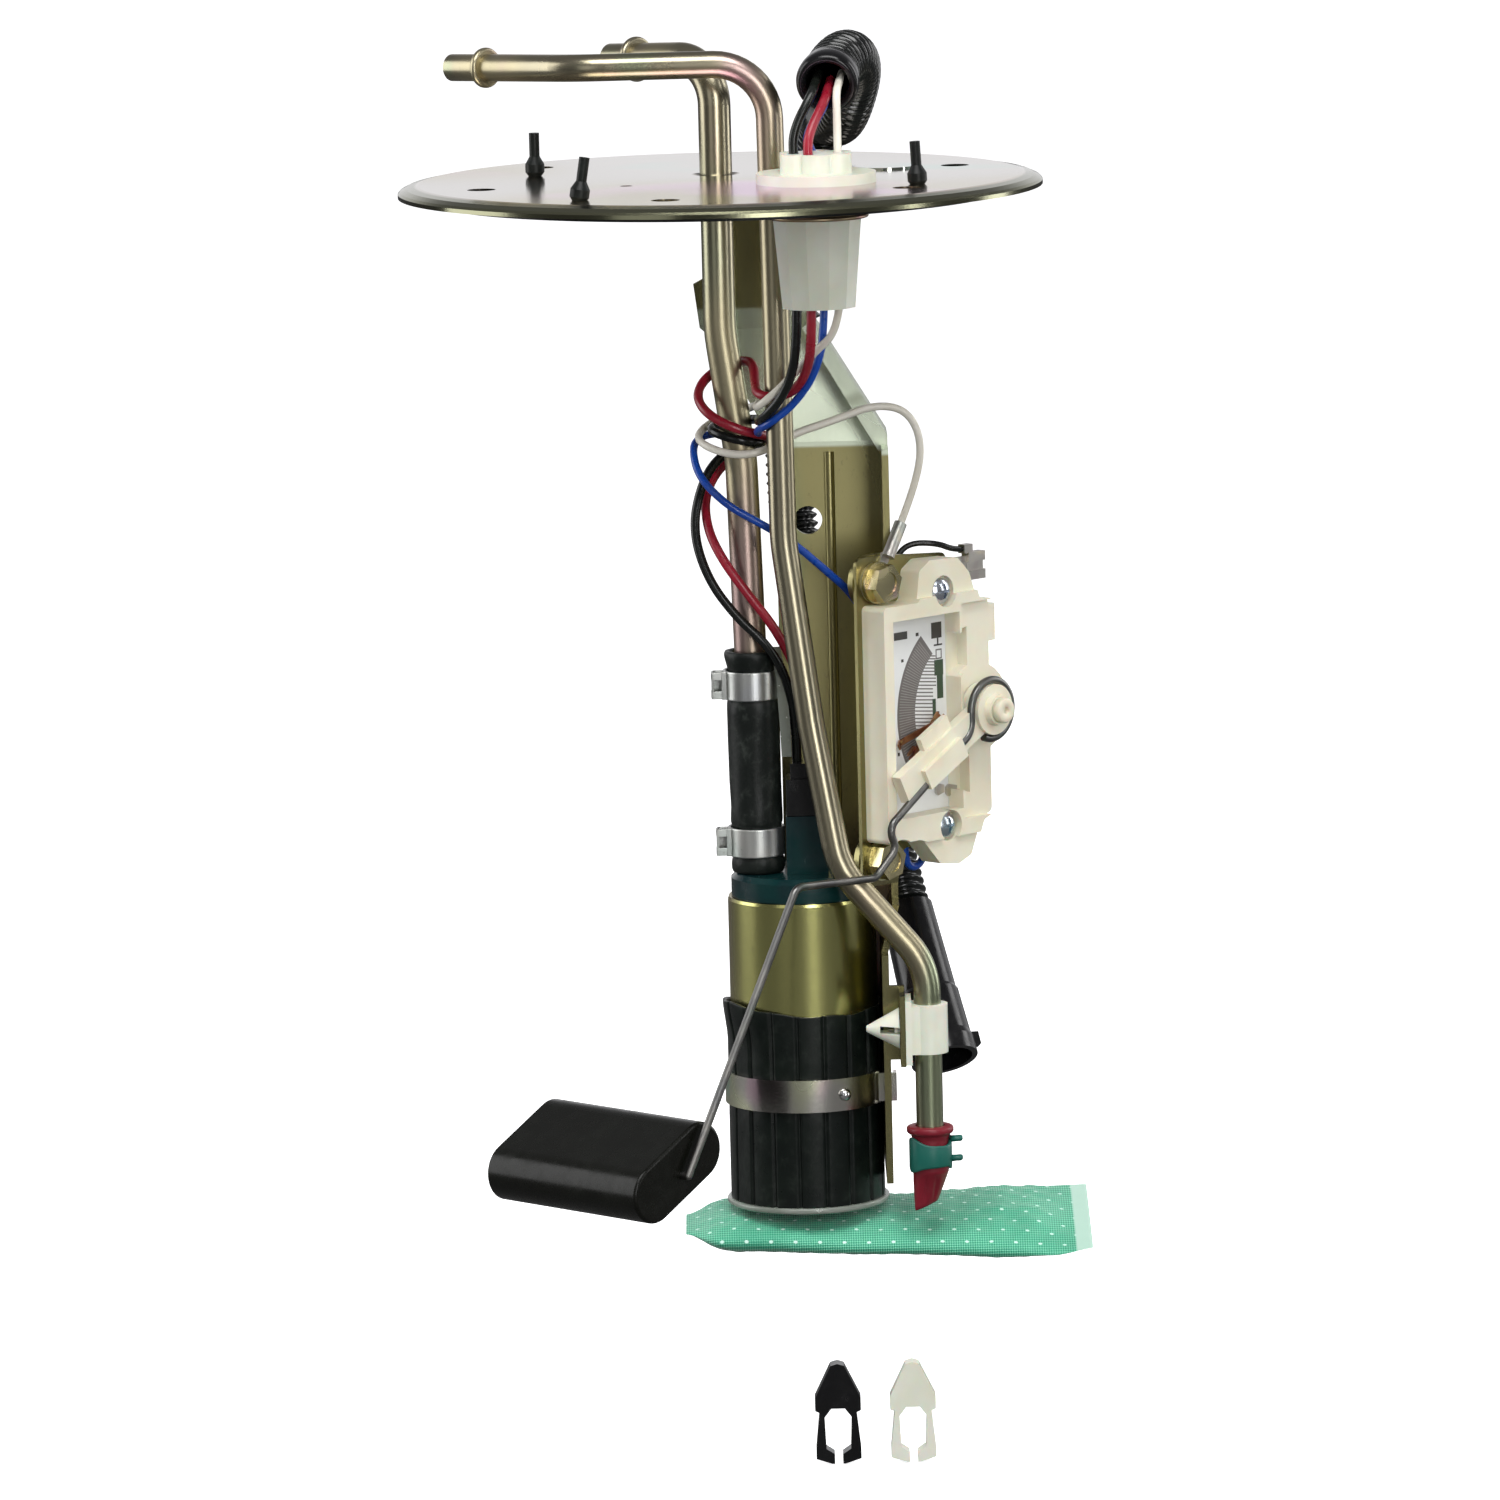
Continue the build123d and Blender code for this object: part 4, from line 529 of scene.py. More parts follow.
# %% The conduit's ribs
CONDUIT_ROUTE = [
    (31.4, -16.0, 29.4), (33.0, -3.0, 33.2), (38.4, 10.0, 36.4), (40.6, 28.0, 29.6), (37.0, 44.0, 15.8),
    (33.8, 62.0, 11.6), (32.0, 84.0, 13.4), (30.4, 103.0, 8.0), (25.6, 111.4, -24.0), (20.2, 110.4, -62.0),
    (17.4, 103.6, -106.0), (28.2, 92.0, -152.0), (43.6, 76.0, -195.5), (50.3, 58.0, -223.6),
]


def ribbed_tree():
    tree = bpy.data.node_groups.new("ribbed_conduit", "GeometryNodeTree")
    tree.is_modifier = True
    for label, kind, value in (
        ("Geometry", "Geometry", None), ("Pitch", "Float", 0.0027), ("Radius Start", "Float", 0.0083),
        ("Radius End", "Float", 0.0072), ("Rib Depth", "Float", 0.0017), ("Material", "Material", None),
    ):
        add_socket(tree, "INPUT", label, kind, value)
    add_socket(tree, "OUTPUT", "Geometry", "Geometry")
    given = tree.nodes.new("NodeGroupInput").outputs
    pitch, start, end = given["Pitch"], given["Radius Start"], given["Radius End"]
    along = tree.nodes.new("GeometryNodeSplineParameter").outputs
    phase = maths(tree, "MULTIPLY", maths(tree, "DIVIDE", along["Length"], pitch), 2 * math.pi)
    wave = maths(tree, "MULTIPLY", maths(tree, "ADD", maths(tree, "SINE", phase), 1.0), 0.5)
    crest = maths(tree, "POWER", wave, 0.6)
    taper = maths(tree, "MINIMUM", maths(tree, "MULTIPLY", along["Factor"], 3.0), 1.0)
    core = maths(tree, "ADD", start, maths(tree, "MULTIPLY", taper, maths(tree, "SUBTRACT", end, start)))
    valley = maths(tree, "MULTIPLY", maths(tree, "SUBTRACT", 1.0, crest), given["Rib Depth"])
    radius = maths(tree, "SUBTRACT", core, valley)

    line = node_with(tree, "GeometryNodeResampleCurve", Curve=given["Geometry"])
    line.mode = "LENGTH"
    tree.links.new(maths(tree, "DIVIDE", pitch, 6.0), line.inputs["Length"])
    sized = node_with(tree, "GeometryNodeSetCurveRadius", Curve=line.outputs["Curve"], Radius=radius)
    ring = node_with(tree, "GeometryNodeCurvePrimitiveCircle", Resolution=36, Radius=1.0)
    sweep = node_with(
        tree, "GeometryNodeCurveToMesh", Curve=sized.outputs["Curve"], Profile_Curve=ring.outputs["Curve"],
    )
    if "Scale" in sweep.inputs:
        tree.links.new(radius, sweep.inputs["Scale"])
    smooth = node_with(tree, "GeometryNodeSetShadeSmooth", Geometry=sweep.outputs["Mesh"])
    real = node_with(tree, "GeometryNodeRealizeInstances", Geometry=smooth.outputs["Geometry"])
    painted = node_with(
        tree, "GeometryNodeSetMaterial", Geometry=real.outputs["Geometry"], Material=given["Material"],
    )
    node_with(tree, "NodeGroupOutput", Geometry=painted.outputs["Geometry"])
    return tree


def run_tree(obj, tree, **values):
    """Runs a node tree on an object and gives back the result as a plain mesh."""
    modifier = obj.modifiers.new(tree.name, "NODES")
    modifier.node_group = tree
    for item in tree.interface.items_tree:
        if item.item_type == "SOCKET" and item.in_out == "INPUT" and item.name in values:
            modifier[item.identifier] = values[item.name]
    name = obj.name
    made = plain_mesh(obj, name + "_made")
    bpy.data.objects.remove(obj)
    made.name = name
    return made


bare = lead_curve("loom_conduit", CONDUIT_ROUTE, 1.0, 24)
bare.data.bevel_depth = 0.0
conduit = run_tree(bare, ribbed_tree(), Material=FINISHES["conduit"])
conduit_path = route_points(CONDUIT_ROUTE)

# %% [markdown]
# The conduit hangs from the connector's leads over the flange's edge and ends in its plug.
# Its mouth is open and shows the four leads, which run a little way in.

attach(conduit, "module")
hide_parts("loom")

# %% Leads from the connector into the conduit
CONDUIT_MOUTH = Vector(CONDUIT_ROUTE[0])
INTO_MOUTH = (Vector(CONDUIT_ROUTE[1]) - CONDUIT_MOUTH).normalized()
ACROSS = INTO_MOUTH.cross(Vector((0, 0, 1))).normalized()
ABOVE = ACROSS.cross(INTO_MOUTH)
CONNECTOR, CAVITY_R = (27.6, -24.2), 6.4
# The connector's four lead passages, by their angles round its axis.
CAVITIES = {
    name: tuple(c + CAVITY_R * turn(math.radians(angle)) for c, turn in zip(CONNECTOR, (math.cos, math.sin)))
    for name, angle in (("black", 190), ("red", 250), ("blue", 75), ("white", 0))
}
# Each outer lead's place in the mouth, the height where it bends and its radius.
OUTER_LEADS = {
    "black": ((-3.4, 0.2), 17.0, 1.4), "red": ((0.1, -1.9), 16.0, 1.4), "blue": ((-0.8, -4.6), 14.0, 1.4),
    "white": ((3.4, 0.2), 18.0, 1.15),
}


def lay_lead(name, points, radius, finish, node, segments=12):
    """A lead whose two ends are both in the object, hung on the module in place of its CAD node."""
    piece = lead_curve(name, points, radius, segments)
    piece.data.materials.append(FINISHES[finish])
    line = route_points(points)
    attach(piece, "module")
    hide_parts(node)


# The blue lead leans over until it stands right behind the red one.
LEAN = {"blue": (CAVITIES["red"][0] - CAVITIES["blue"][0] - 0.6, 3.4)}
for name, ((side, lift), rise, radius) in OUTER_LEADS.items():
    x, y = CAVITIES[name]
    over, behind = LEAN.get(name, (0.0, 0.0))
    mouth = CONDUIT_MOUTH + ACROSS * side + ABOVE * lift
    route = [
        (x, y, 4.0), (x + 0.55 * over, y + 0.7 * behind, 9.5), (x + over, y + behind, rise),
        mouth - INTO_MOUTH * 7.0, mouth, mouth + INTO_MOUTH * 9.0,
    ]
    lay_lead("outer_lead_" + name, route, radius, "lead_" + name, "outer_leads", 10)

# %% [markdown]
# Inside the tank the leads are longer than they need to be. They leave the connector's
# underside, wind round the tube and the rail, and drop to the pump and the level sender.
# Each is one NURBS curve; the few points turn the line where the real lead was bent.

# %% Leads under the flange
SENDER_PLACE = Vector((41.2, 5.1, 0.0))
SENDER_X, SENDER_OUT = Vector((0.694658, 0.719340, 0)), Vector((0.719340, -0.694658, 0))


def sender_point(x, z, out):
    """A point of the level sender's own frame: along its plate, height, and out from it."""
    return tuple(SENDER_PLACE + SENDER_X * x + SENDER_OUT * out + Vector((0, 0, z)))


INNER_LEADS = {
    "black": (1.4, [
        (*CAVITIES["black"], -24.0), (*CAVITIES["black"], -45.0), (17.9, -17.7, -59), (10, -10.7, -68.2),
        (9.3, 2, -69.6), (9.8, 14.2, -70.3), (4.4, 19.4, -71), (-2.7, 17.3, -71.8), (-5, 10.6, -72.8),
        (-0.2, 5.4, -74.4), (6.6, 4.9, -76), (11.4, 12.3, -77.2), (6.2, 19.7, -78.7), (-2, 18.4, -81),
        (-7.7, 14.2, -88.8), (-10.7, 9.7, -101.9), (-6.6, 5.4, -116), (1.8, 3.4, -127.5), (11, 2.8, -135.9),
        (16.8, 7.4, -148.5), (18.4, 12.5, -164), (18.4, 12.5, -180),
    ]),
    "red": (1.4, [
        (*CAVITIES["red"], -24.0), (*CAVITIES["red"], -43.0), (23.6, -19.5, -54), (18.6, -11.8, -60.9),
        (9.3, -9.3, -61.2), (8.6, 1, -58), (8.4, 10.4, -53), (3.5, 19.6, -53.4), (-5.4, 18.6, -57.6),
        (-8.8, 11, -62.6), (-5.6, 3.6, -67.4), (2.6, 1.6, -71.6), (10, 4.5, -73.9), (14.3, 13.4, -75.7),
        (8.7, 22.1, -79), (-1, 22, -83.4), (-6.8, 17.4, -91.8), (-6.5, 9.7, -101.2), (-2.4, 4, -109.8),
        (4.8, 2, -120), (13.4, 3.6, -131.5), (20, 7.6, -146.5), (23, 12.5, -163), (23, 12.5, -180),
    ]),
    "blue": (1.15, [
        (*CAVITIES["blue"], -24.0), (*CAVITIES["blue"], -42.0), (26.0, -17, -54.5), (19.6, -12, -63.6),
        (12.6, -11.4, -68.8), (8.8, -4, -71.6), (9.4, 6, -73.8), (10.6, 16, -75.2), (5.4, 25.4, -75.6),
        (-2.6, 25.6, -75.4), (-8.2, 20, -75.8), (-10.2, 12, -78.4), (-8.4, 5, -86.0), (-0.4, 1.6, -94.0),
        (8.6, 2.4, -99.2),
        (18.4, 3.6, -105.4), (27.6, 6.4, -114), (35.6, 11.4, -122), (41.6, 15.6, -133), (47.2, 17.4, -149),
        (50.4, 18.9, -168), (49.6, 18.6, -190), sender_point(15.5, -205.0, -3.6),
        sender_point(23.5, -205.5, -3.8), sender_point(26.5, -194.5, -4.4), sender_point(27.0, -191.2, -3.2),
        sender_point(27.0, -190.8, 0.0),
    ]),
    "white": (1.15, [
        (*CAVITIES["white"], -24.0), (*CAVITIES["white"], -40.0), (25, -19.5, -48.5), (16.8, -14.2, -57.5),
        (8.6, -12.4, -64.5), (9.4, 2, -64.2), (10.6, 14, -65.6), (5.6, 22.6, -68.4), (-4.2, 21.4, -71.4),
        (-9, 13, -74.6), (-6.4, 4, -76.8), (1.4, 0.6, -79.2), (9.8, 1.9, -79), (19, 5, -74), (31, 7, -70.6),
        (43, 8, -66.2), (52.6, 8.6, -67.8), (57, 8.8, -76.6), (55.4, 9, -89), sender_point(10.0, -101.5, 3.0),
    ]),
}
for name, (radius, route) in INNER_LEADS.items():
    lay_lead("inner_lead_" + name, route, radius, "lead_" + name, "lead_" + name)

JUMPER_ROUTE = [
    sender_point(*spot) for spot in (
        (34.4, -111.7, 4.4), (31.0, -111.5, 4.3), (26.0, -109.2, 2.6), (20.0, -108.8, -2.6),
        (16.5, -112.0, -4.8), (15.5, -115.6, -3.4), (15.5, -116.0, 0.0),
    )
]
lay_lead("jumper", JUMPER_ROUTE, 0.9, "lead_black", "ground_jumper")

# %% [markdown]
# Turned rubber and metal pieces are profiles swept round an axis. Drawing the profile as a
# short list of heights and radii keeps every step and bulge easy to read.

# %% Profiles swept round an axis
def mesh_piece(name, bm, finish, smooth=True):
    """A bmesh as an object at the origin, its normals outwards."""
    bmesh.ops.remove_doubles(bm, verts=bm.verts, dist=1e-6)
    bmesh.ops.recalc_face_normals(bm, faces=bm.faces)
    mesh = bpy.data.meshes.new(name)
    bm.to_mesh(mesh)
    bm.free()
    for face in mesh.polygons:
        face.use_smooth = smooth
    obj = bpy.data.objects.new(name, mesh)
    obj.data.materials.append(finish)
    bpy.context.scene.collection.objects.link(obj)
    return obj


def skin_of_rings(bm, rings, closed_ends=False, wrap=False):
    """Quads between rings of points; each ring is a closed loop of the same length."""
    rows = [[bm.verts.new(Vector(p) * MM) for p in ring] for ring in rings]
    pairs = list(zip(rows, rows[1:])) + ([(rows[-1], rows[0])] if wrap else [])
    for low, high in pairs:
        for k in range(len(low)):
            n = (k + 1) % len(low)
            bm.faces.new((low[k], low[n], high[n], high[k]))
    if closed_ends:
        bm.faces.new(rows[0])
        bm.faces.new(rows[-1][::-1])


def lofted(name, finish, *skins, smooth=True, **ends):
    """One piece from one or more skins, each a list of rings."""
    bm = bmesh.new()
    for rings in skins:
        skin_of_rings(bm, rings, **ends)
    return mesh_piece(name, bm, finish, smooth)


def angles(count):
    return [2 * math.pi * k / count for k in range(count)]


def circle(centre, radius, z, count=72):
    """A level ring; the radius and the height are numbers or functions of the angle."""
    ring = []
    for a in angles(count):
        r, up = (value(a) if callable(value) else value for value in (radius, z))
        ring.append((centre[0] + r * math.cos(a), centre[1] + r * math.sin(a), up))
    return ring


def soft_corners(profile, size=0.25):
    """Cuts each corner of a closed profile in two, so that light catches the edge."""
    out = []
    for k, here in enumerate(profile):
        before, after = Vector(profile[k - 1]), Vector(profile[(k + 1) % len(profile)])
        here = Vector(here)
        for other in (before, after):
            reach = min(size, (other - here).length * 0.4)
            out.append(here + (other - here).normalized() * reach)
    return out


def turned(name, profile, place, finish, segments=64, ripple=None, axis_to=None, corners=0.25):
    """Sweeps a closed (radius, height) profile round an upright axis at (x, y).

    ripple(angle, radius, height) gives back a new radius; axis_to leans the axis so that it
    ends at another (x, y) over the profile's height."""
    profile = soft_corners(profile, corners)
    low, high = min(p[1] for p in profile), max(p[1] for p in profile)
    rings = []
    for radius, height in profile:
        share = (high - height) / (high - low)
        centre = [a + (b - a) * share for a, b in zip(place, axis_to or place)]
        swell = (lambda a, r=radius, z=height: ripple(a, r, z)) if ripple else radius
        rings.append(circle(centre, swell, height, segments))
    return lofted(name, finish, rings, wrap=True)


# %% [markdown]
# The fuel hose is a short moulded rubber tube. Each clamp pinches it, so it swells on both
# sides of the band, and a rubber hose that has been pushed over a barb is never quite round.

# %% Fuel hose
HOSE_FINISH = moulded(
    "hose_rubber", (0.005, 0.007, 0.006), (0.010, 0.013, 0.011), (0.13, 0.15, 0.13),
    0.25, 0.4, 0.4, 700.0, 0.22,
)
# Inside this radius is the bore, which stays round. The hose's axis stands at HOSE_Y.
BARE_RUBBER_R, HOSE_Y = 6.0, 12.0


def hose_swell(angle, radius, height):
    if radius < BARE_RUBBER_R:
        return radius
    return radius + 0.17 * math.sin(2 * angle + height * 0.14) + 0.09 * math.sin(5 * angle - height * 0.45)


HOSE_PROFILE = [
    (5.0, -141.5), (5.9, -138.5), (7.4, -137.9), (8.15, -138.4), (8.2, -140.0), (7.7, -142.4), (7.3, -143.9),
    (7.3, -152.2), (7.7, -153.2), (7.85, -156.0), (7.6, -162.0), (7.55, -176.0), (7.65, -184.0),
    (7.85, -188.4), (7.6, -189.6), (7.3, -190.3), (7.3, -198.7), (7.75, -199.6), (7.9, -201.6),
    (7.6, -203.4), (6.9, -203.95), (4.95, -203.95),
]
hose = turned(
    "hose", HOSE_PROFILE, (5.7, HOSE_Y), HOSE_FINISH, 72, hose_swell, axis_to=(6.2, HOSE_Y), corners=0.5,
)
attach(hose, "module")
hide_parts("fuel_hose")
print("hose:", len(hose.data.polygons), "faces")

# %% [markdown]
# The return tube ends in a red rubber valve. Its two lips close on each other by the
# rubber's own spring, so the round neck is drawn out to a flat bill with a fold on each
# face. A teal band holds the collar and has two small hooks.

# %% Duckbill valve and its band
VALVE_X, VALVE_Y, VALVE_TOP = 54.6, -12.0, -276.6


def bill_ring(height, share):
    """A ring between the round neck and the flat bill; share runs from 0 to 1 down the bill."""
    ring = []
    turn = math.radians(24 * share)
    wide, deep = 5.25 + (3.7 - 5.25) * share, 5.25 + (1.15 - 5.25) * share ** 0.8
    for angle in angles(72):
        x, y = wide * math.cos(angle), deep * math.sin(angle)
        if share > 0:
            x = math.copysign(abs(x) ** (1 - 0.12 * share) * wide ** (0.12 * share), x)
            fold = math.exp(-((abs(x) - 1.5) / 0.55) ** 2) * 0.75 * math.sin(math.pi * min(1, share * 1.1))
            y *= 1 - fold / max(deep, 1.2) * 0.9
        lean = -1.5 * share
        ring.append((
            VALVE_X + lean + x * math.cos(turn) - y * math.sin(turn),
            VALVE_Y + x * math.sin(turn) + y * math.cos(turn), height + 0.35 * x * share,
        ))
    return ring


NECK = [
    (4.05, 0.0), (6.4, 0.0), (6.9, -0.5), (6.9, -1.7), (6.4, -2.2), (5.7, -2.6), (5.45, -3.4), (5.3, -4.0),
    (5.3, -13.2),
]
BILL_FROM, BILL_LONG, BILL_STEPS, LIPS_BELOW = 13.6, 10.2, 12, 20
rings = [circle((VALVE_X, VALVE_Y), radius, VALVE_TOP + drop) for radius, drop in soft_corners(NECK, 0.2)[1:-1]]
for step in range(BILL_STEPS + 1):
    share = step / BILL_STEPS
    rings.append(bill_ring(VALVE_TOP - BILL_FROM - BILL_LONG * share, share))
bm = bmesh.new()
skin_of_rings(bm, rings)
lips = [e for e in bm.edges if e.is_boundary and e.verts[0].co.z < (VALVE_TOP - LIPS_BELOW) * MM]
bmesh.ops.contextual_create(bm, geom=lips)
valve = mesh_piece("duckbill", bm, FINISHES["valve"])
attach(valve, "module")
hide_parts("duckbill_valve")


def wave(angle):
    """The band's edges dip at the front and rise at the sides."""
    return 1.1 * math.sin(angle * 2 + 0.6) + 0.3 * math.sin(angle * 4)


def band_ring(radius, drop):
    rise = 1.0 if drop > -8 else -0.8
    return circle((VALVE_X, VALVE_Y), radius, lambda a: VALVE_TOP + drop + rise * wave(a))


BAND = ((5.32, -4.6), (6.15, -4.5), (6.3, -5.0), (6.3, -11.8), (6.15, -12.4), (5.32, -12.3))
band = lofted("teal_band", FINISHES["band"], [band_ring(*step) for step in BAND], wrap=True)
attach(band, "module")
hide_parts("valve_band")
HOOK = ((5.9, 1.0), (7.6, 0.95), (8.9, 0.95), (9.35, 0.7), (9.5, 0.25))
for number, drop in ((1, -4.4), (2, -10.2)):
    rings = []
    for reach, half in HOOK:
        x, y, z = VALVE_X + reach, VALVE_Y - 0.4, VALVE_TOP + drop + 0.05 * reach
        rings.append([(x, y + half * 1.25 * math.cos(a), z + half * math.sin(a)) for a in angles(20)])
    hook = lofted("band_hook_%d" % number, FINISHES["band"], rings, closed_ends=True)
    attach(hook, "module")
    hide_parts("valve_band")
print("valve:", len(valve.data.polygons), "faces, band:", len(band.data.polygons))

# %% [markdown]
# The strainer sock is a flat bag of fine green mesh with welded spots. Its far end is a
# welded seam that turned whitish, its near end is folded in under the pump, and the loose
# cloth has one long crease. It is lofted from sections that twist and sag along the bag.

# %% The sock's weave
def weave_group():
    tree, given = shader_group("mesh_weave", {
        "Thread": (0.1, 0.5, 0.3), "Gap": (0.02, 0.3, 0.2), "Spot": (0.7, 0.9, 0.8), "Seam": (0.7, 0.85, 0.78),
        "Pitch": 0.0014, "Spot Pitch": 0.0072, "Seam Start": 0.097, "Roughness": 0.5, "Relief": 0.5,
    })
    place = node_with(tree, "ShaderNodeSeparateXYZ", Vector=given["Vector"]).outputs
    x = place["X"]
    y, z = maths(tree, "MULTIPLY", place["Y"], 0.28), maths(tree, "MULTIPLY", place["Z"], 0.9)
    y = maths(tree, "ADD", y, z)
    rate = maths(tree, "DIVIDE", 2 * math.pi, given["Pitch"])
    one = maths(tree, "SINE", maths(tree, "MULTIPLY", maths(tree, "ADD", x, y), rate))
    two = maths(tree, "SINE", maths(tree, "MULTIPLY", maths(tree, "SUBTRACT", x, y), rate))
    cloth = maths(tree, "MULTIPLY", maths(tree, "ADD", maths(tree, "MULTIPLY", one, two), 1.0), 0.5)
    drift = noise(tree, given["Vector"], 45.0)
    tint = mix(tree, span(tree, cloth, 0.25, 0.8), given["Gap"], given["Thread"])
    tint = mix(tree, span(tree, drift, 0.35, 0.7, 0.0, 0.35), tint, given["Gap"])
    down = maths(tree, "DIVIDE", maths(tree, "ADD", place["Y"], place["Z"]), given["Spot Pitch"])
    odd = maths(tree, "MULTIPLY", maths(tree, "FLOORED_MODULO", maths(tree, "FLOOR", down), 2.0), 0.5)
    along = maths(tree, "ADD", maths(tree, "DIVIDE", x, given["Spot Pitch"]), odd)
    off_middle = (maths(tree, "SUBTRACT", maths(tree, "FRACT", v), 0.5) for v in (along, down))
    spots = span(tree, maths(tree, "ADD", *(maths(tree, "POWER", v, 2.0) for v in off_middle)), 0.010, 0.004)
    tint = mix(tree, spots, tint, given["Spot"])
    seam = span(tree, maths(tree, "SUBTRACT", x, given["Seam Start"]), -0.0004, 0.0004)
    tint = mix(tree, seam, tint, given["Seam"])
    woven = maths(tree, "MULTIPLY", cloth, maths(tree, "SUBTRACT", 1.0, maths(tree, "MAXIMUM", seam, spots)))
    return put_out(tree, tint, given["Roughness"], relief(tree, woven, given["Relief"]))


WEAVE = weave_group()
sock_cloth = finish_from(
    WEAVE, "sock_cloth", 0.0,
    {"Thread": (0.19, 0.66, 0.43), "Gap": (0.01, 0.29, 0.165), "Spot": (0.62, 0.88, 0.78),
     "Seam": (0.48, 0.72, 0.60)}, Sheen_Weight=0.25,
)
print("sock cloth:", len(sock_cloth.node_tree.nodes), "nodes")

# %% The bag itself
SOCK_FROM, SOCK_TO, SOCK_STEPS = -17.8, 101.8, 150


def smooth_step(value):
    value = min(1.0, max(0.0, value))
    return value * value * (3 - 2 * value)


def sock_section(x, count=96):
    """One closed section of the bag at x, where it has its own width, thickness, tilt and sag."""
    share = (x - SOCK_FROM) / (SOCK_TO - SOCK_FROM)
    left = smooth_step((x - SOCK_FROM) / 16.0)
    right = smooth_step((SOCK_TO - 4.5 - x) / 26.0) if x < SOCK_TO - 4.5 else 0.0
    half = 24.6 - 12.0 * (1 - smooth_step((x - SOCK_FROM) / 12.0)) ** 1.5 - 0.8 * math.sin(math.pi * share)
    thick = 0.5 + 4.7 * min(left, right) ** 0.7
    tilt = math.radians(2.0 + 9.0 * smooth_step((share - 0.45) / 0.55))
    middle_y = 14.0 + 0.6 * math.sin(3.0 * share)
    middle_z = -310.0 - 0.35 * math.sin(math.pi * share) + 0.3 * (1 - left)
    ring = []
    for angle in angles(count):
        c, s = math.cos(angle), math.sin(angle)
        y = half * math.copysign(abs(c) ** 0.75, c)
        z = thick * math.copysign(abs(s) ** 0.9, s)
        crease = 1.1 * math.exp(-(((x - 88) - 0.25 * (y + 6)) / 4.0) ** 2) * math.exp(-((y + 8) / 9.0) ** 2)
        long_fold = 0.9 * math.exp(-((y + 13 - 0.22 * (x - 40)) / 1.6) ** 2)
        crease += long_fold * smooth_step((x - 62) / 20) * smooth_step((92 - x) / 10)
        pucker = 0.28 * math.sin(x * 0.55 + y * 0.35) * math.sin(y * 0.41 - x * 0.2)
        pucker += 0.16 * math.sin(x * 1.3 - y * 0.9)
        if s > 0:
            z += (crease + pucker) * min(1.0, thick / 3.0) * s ** 0.5
        else:
            z += 0.6 * pucker * min(1.0, thick / 3.0) * s
        z -= 2.4 * smooth_step((x + 5) / 45) * max(0.0, -y / half) ** 1.5 * smooth_step((104 - x) / 14)
        y0, z0 = y * math.cos(tilt) - z * math.sin(tilt), y * math.sin(tilt) + z * math.cos(tilt)
        ring.append((x, middle_y + y0, middle_z + z0))
    return ring


stations = [SOCK_FROM + (SOCK_TO - SOCK_FROM) * k / SOCK_STEPS for k in range(SOCK_STEPS + 1)]
sock = lofted("sock", sock_cloth, [sock_section(x) for x in stations], closed_ends=True)
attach(sock, "module")
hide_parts("strainer_sock")

BAR_OFF, BAR = 7.0, ((-1.5, -0.5), (1.5, -0.5), (1.5, 0.5), (-1.5, 0.5))
bars = ([], [])
for x in range(-8, 88, 4):
    section = sock_section(x)
    middle = Vector([sum(p[k] for p in section) / len(section) for k in range(3)])
    across = (Vector(section[0]) - Vector(section[len(section) // 2])).normalized()
    for sign, bar in zip((-1, 1), bars):
        centre = middle + across * BAR_OFF * sign
        bar.append([centre + across * a + Vector((0, 0, b)) for a, b in BAR])
spine = lofted("sock_frame", FINISHES["nylon"], *bars, closed_ends=True, smooth=False)
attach(spine, "module")
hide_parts("strainer_frame")
low, high = ([f(v.co[k] for v in sock.data.vertices) for k in range(3)] for f in (min, max))
print("sock:", len(sock.data.polygons), "faces,", [round(v, 4) for v in low], [round(v, 4) for v in high])

# %% [markdown]
# The sender's card is a white ceramic plate with printed tracks. The wiper runs on a broad
# grey arc of fine lines, and a comb of narrow traces leads from it to the trimming pads.
# Each print is a film 0.05 mm thick, so it stays a real piece that any renderer shows.

# %% Prints on the resistor card
CARD_FACE, FILM = 4.0, 0.05
HUB = (36.0, -158.8)


def ink(name, colour):
    """Printed film: one colour that thins and darkens in fine patches."""
    darker, paler = (tuple(v * by for v in colour) for by in (0.85, 1.25))
    return moulded(name, colour, darker, paler, 0.3, 0.42, 0.08, 2600.0)


INK_GREY, INK_DARK = ink("ink_grey", (0.165, 0.15, 0.14)), ink("ink_dark", (0.05, 0.045, 0.04))
INK_GREEN, INK_LINE = ink("ink_green", (0.04, 0.075, 0.04)), ink("ink_line", (0.30, 0.285, 0.27))


def slabs(name, finish, low, high, *outlines):
    """Flat outlines in the sender's plane, each drawn out from one distance to another."""
    skins = ([[sender_point(x, z, out) for x, z in outline] for out in (low, high)] for outline in outlines)
    return lofted(name, finish, *skins, closed_ends=True, smooth=False)


def print_shapes(name, shapes, finish, thick=FILM, base=CARD_FACE):
    """Flat outlines raised a little off the card."""
    piece = slabs(name, finish, base, base + thick, *shapes)
    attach(piece, "module")
    return piece


def at_hub(radius, degrees):
    angle = math.radians(degrees)
    return (HUB[0] + radius * math.cos(angle), HUB[1] + radius * math.sin(angle))


def sector(r0, r1, a0, a1, steps):
    inner, outer = ([at_hub(r, a0 + (a1 - a0) * k / steps) for k in range(steps + 1)] for r in (r0, r1))
    return inner + outer[::-1]


def oblong(x0, x1, z0, z1):
    return [(x0, z0), (x1, z0), (x1, z1), (x0, z1)]


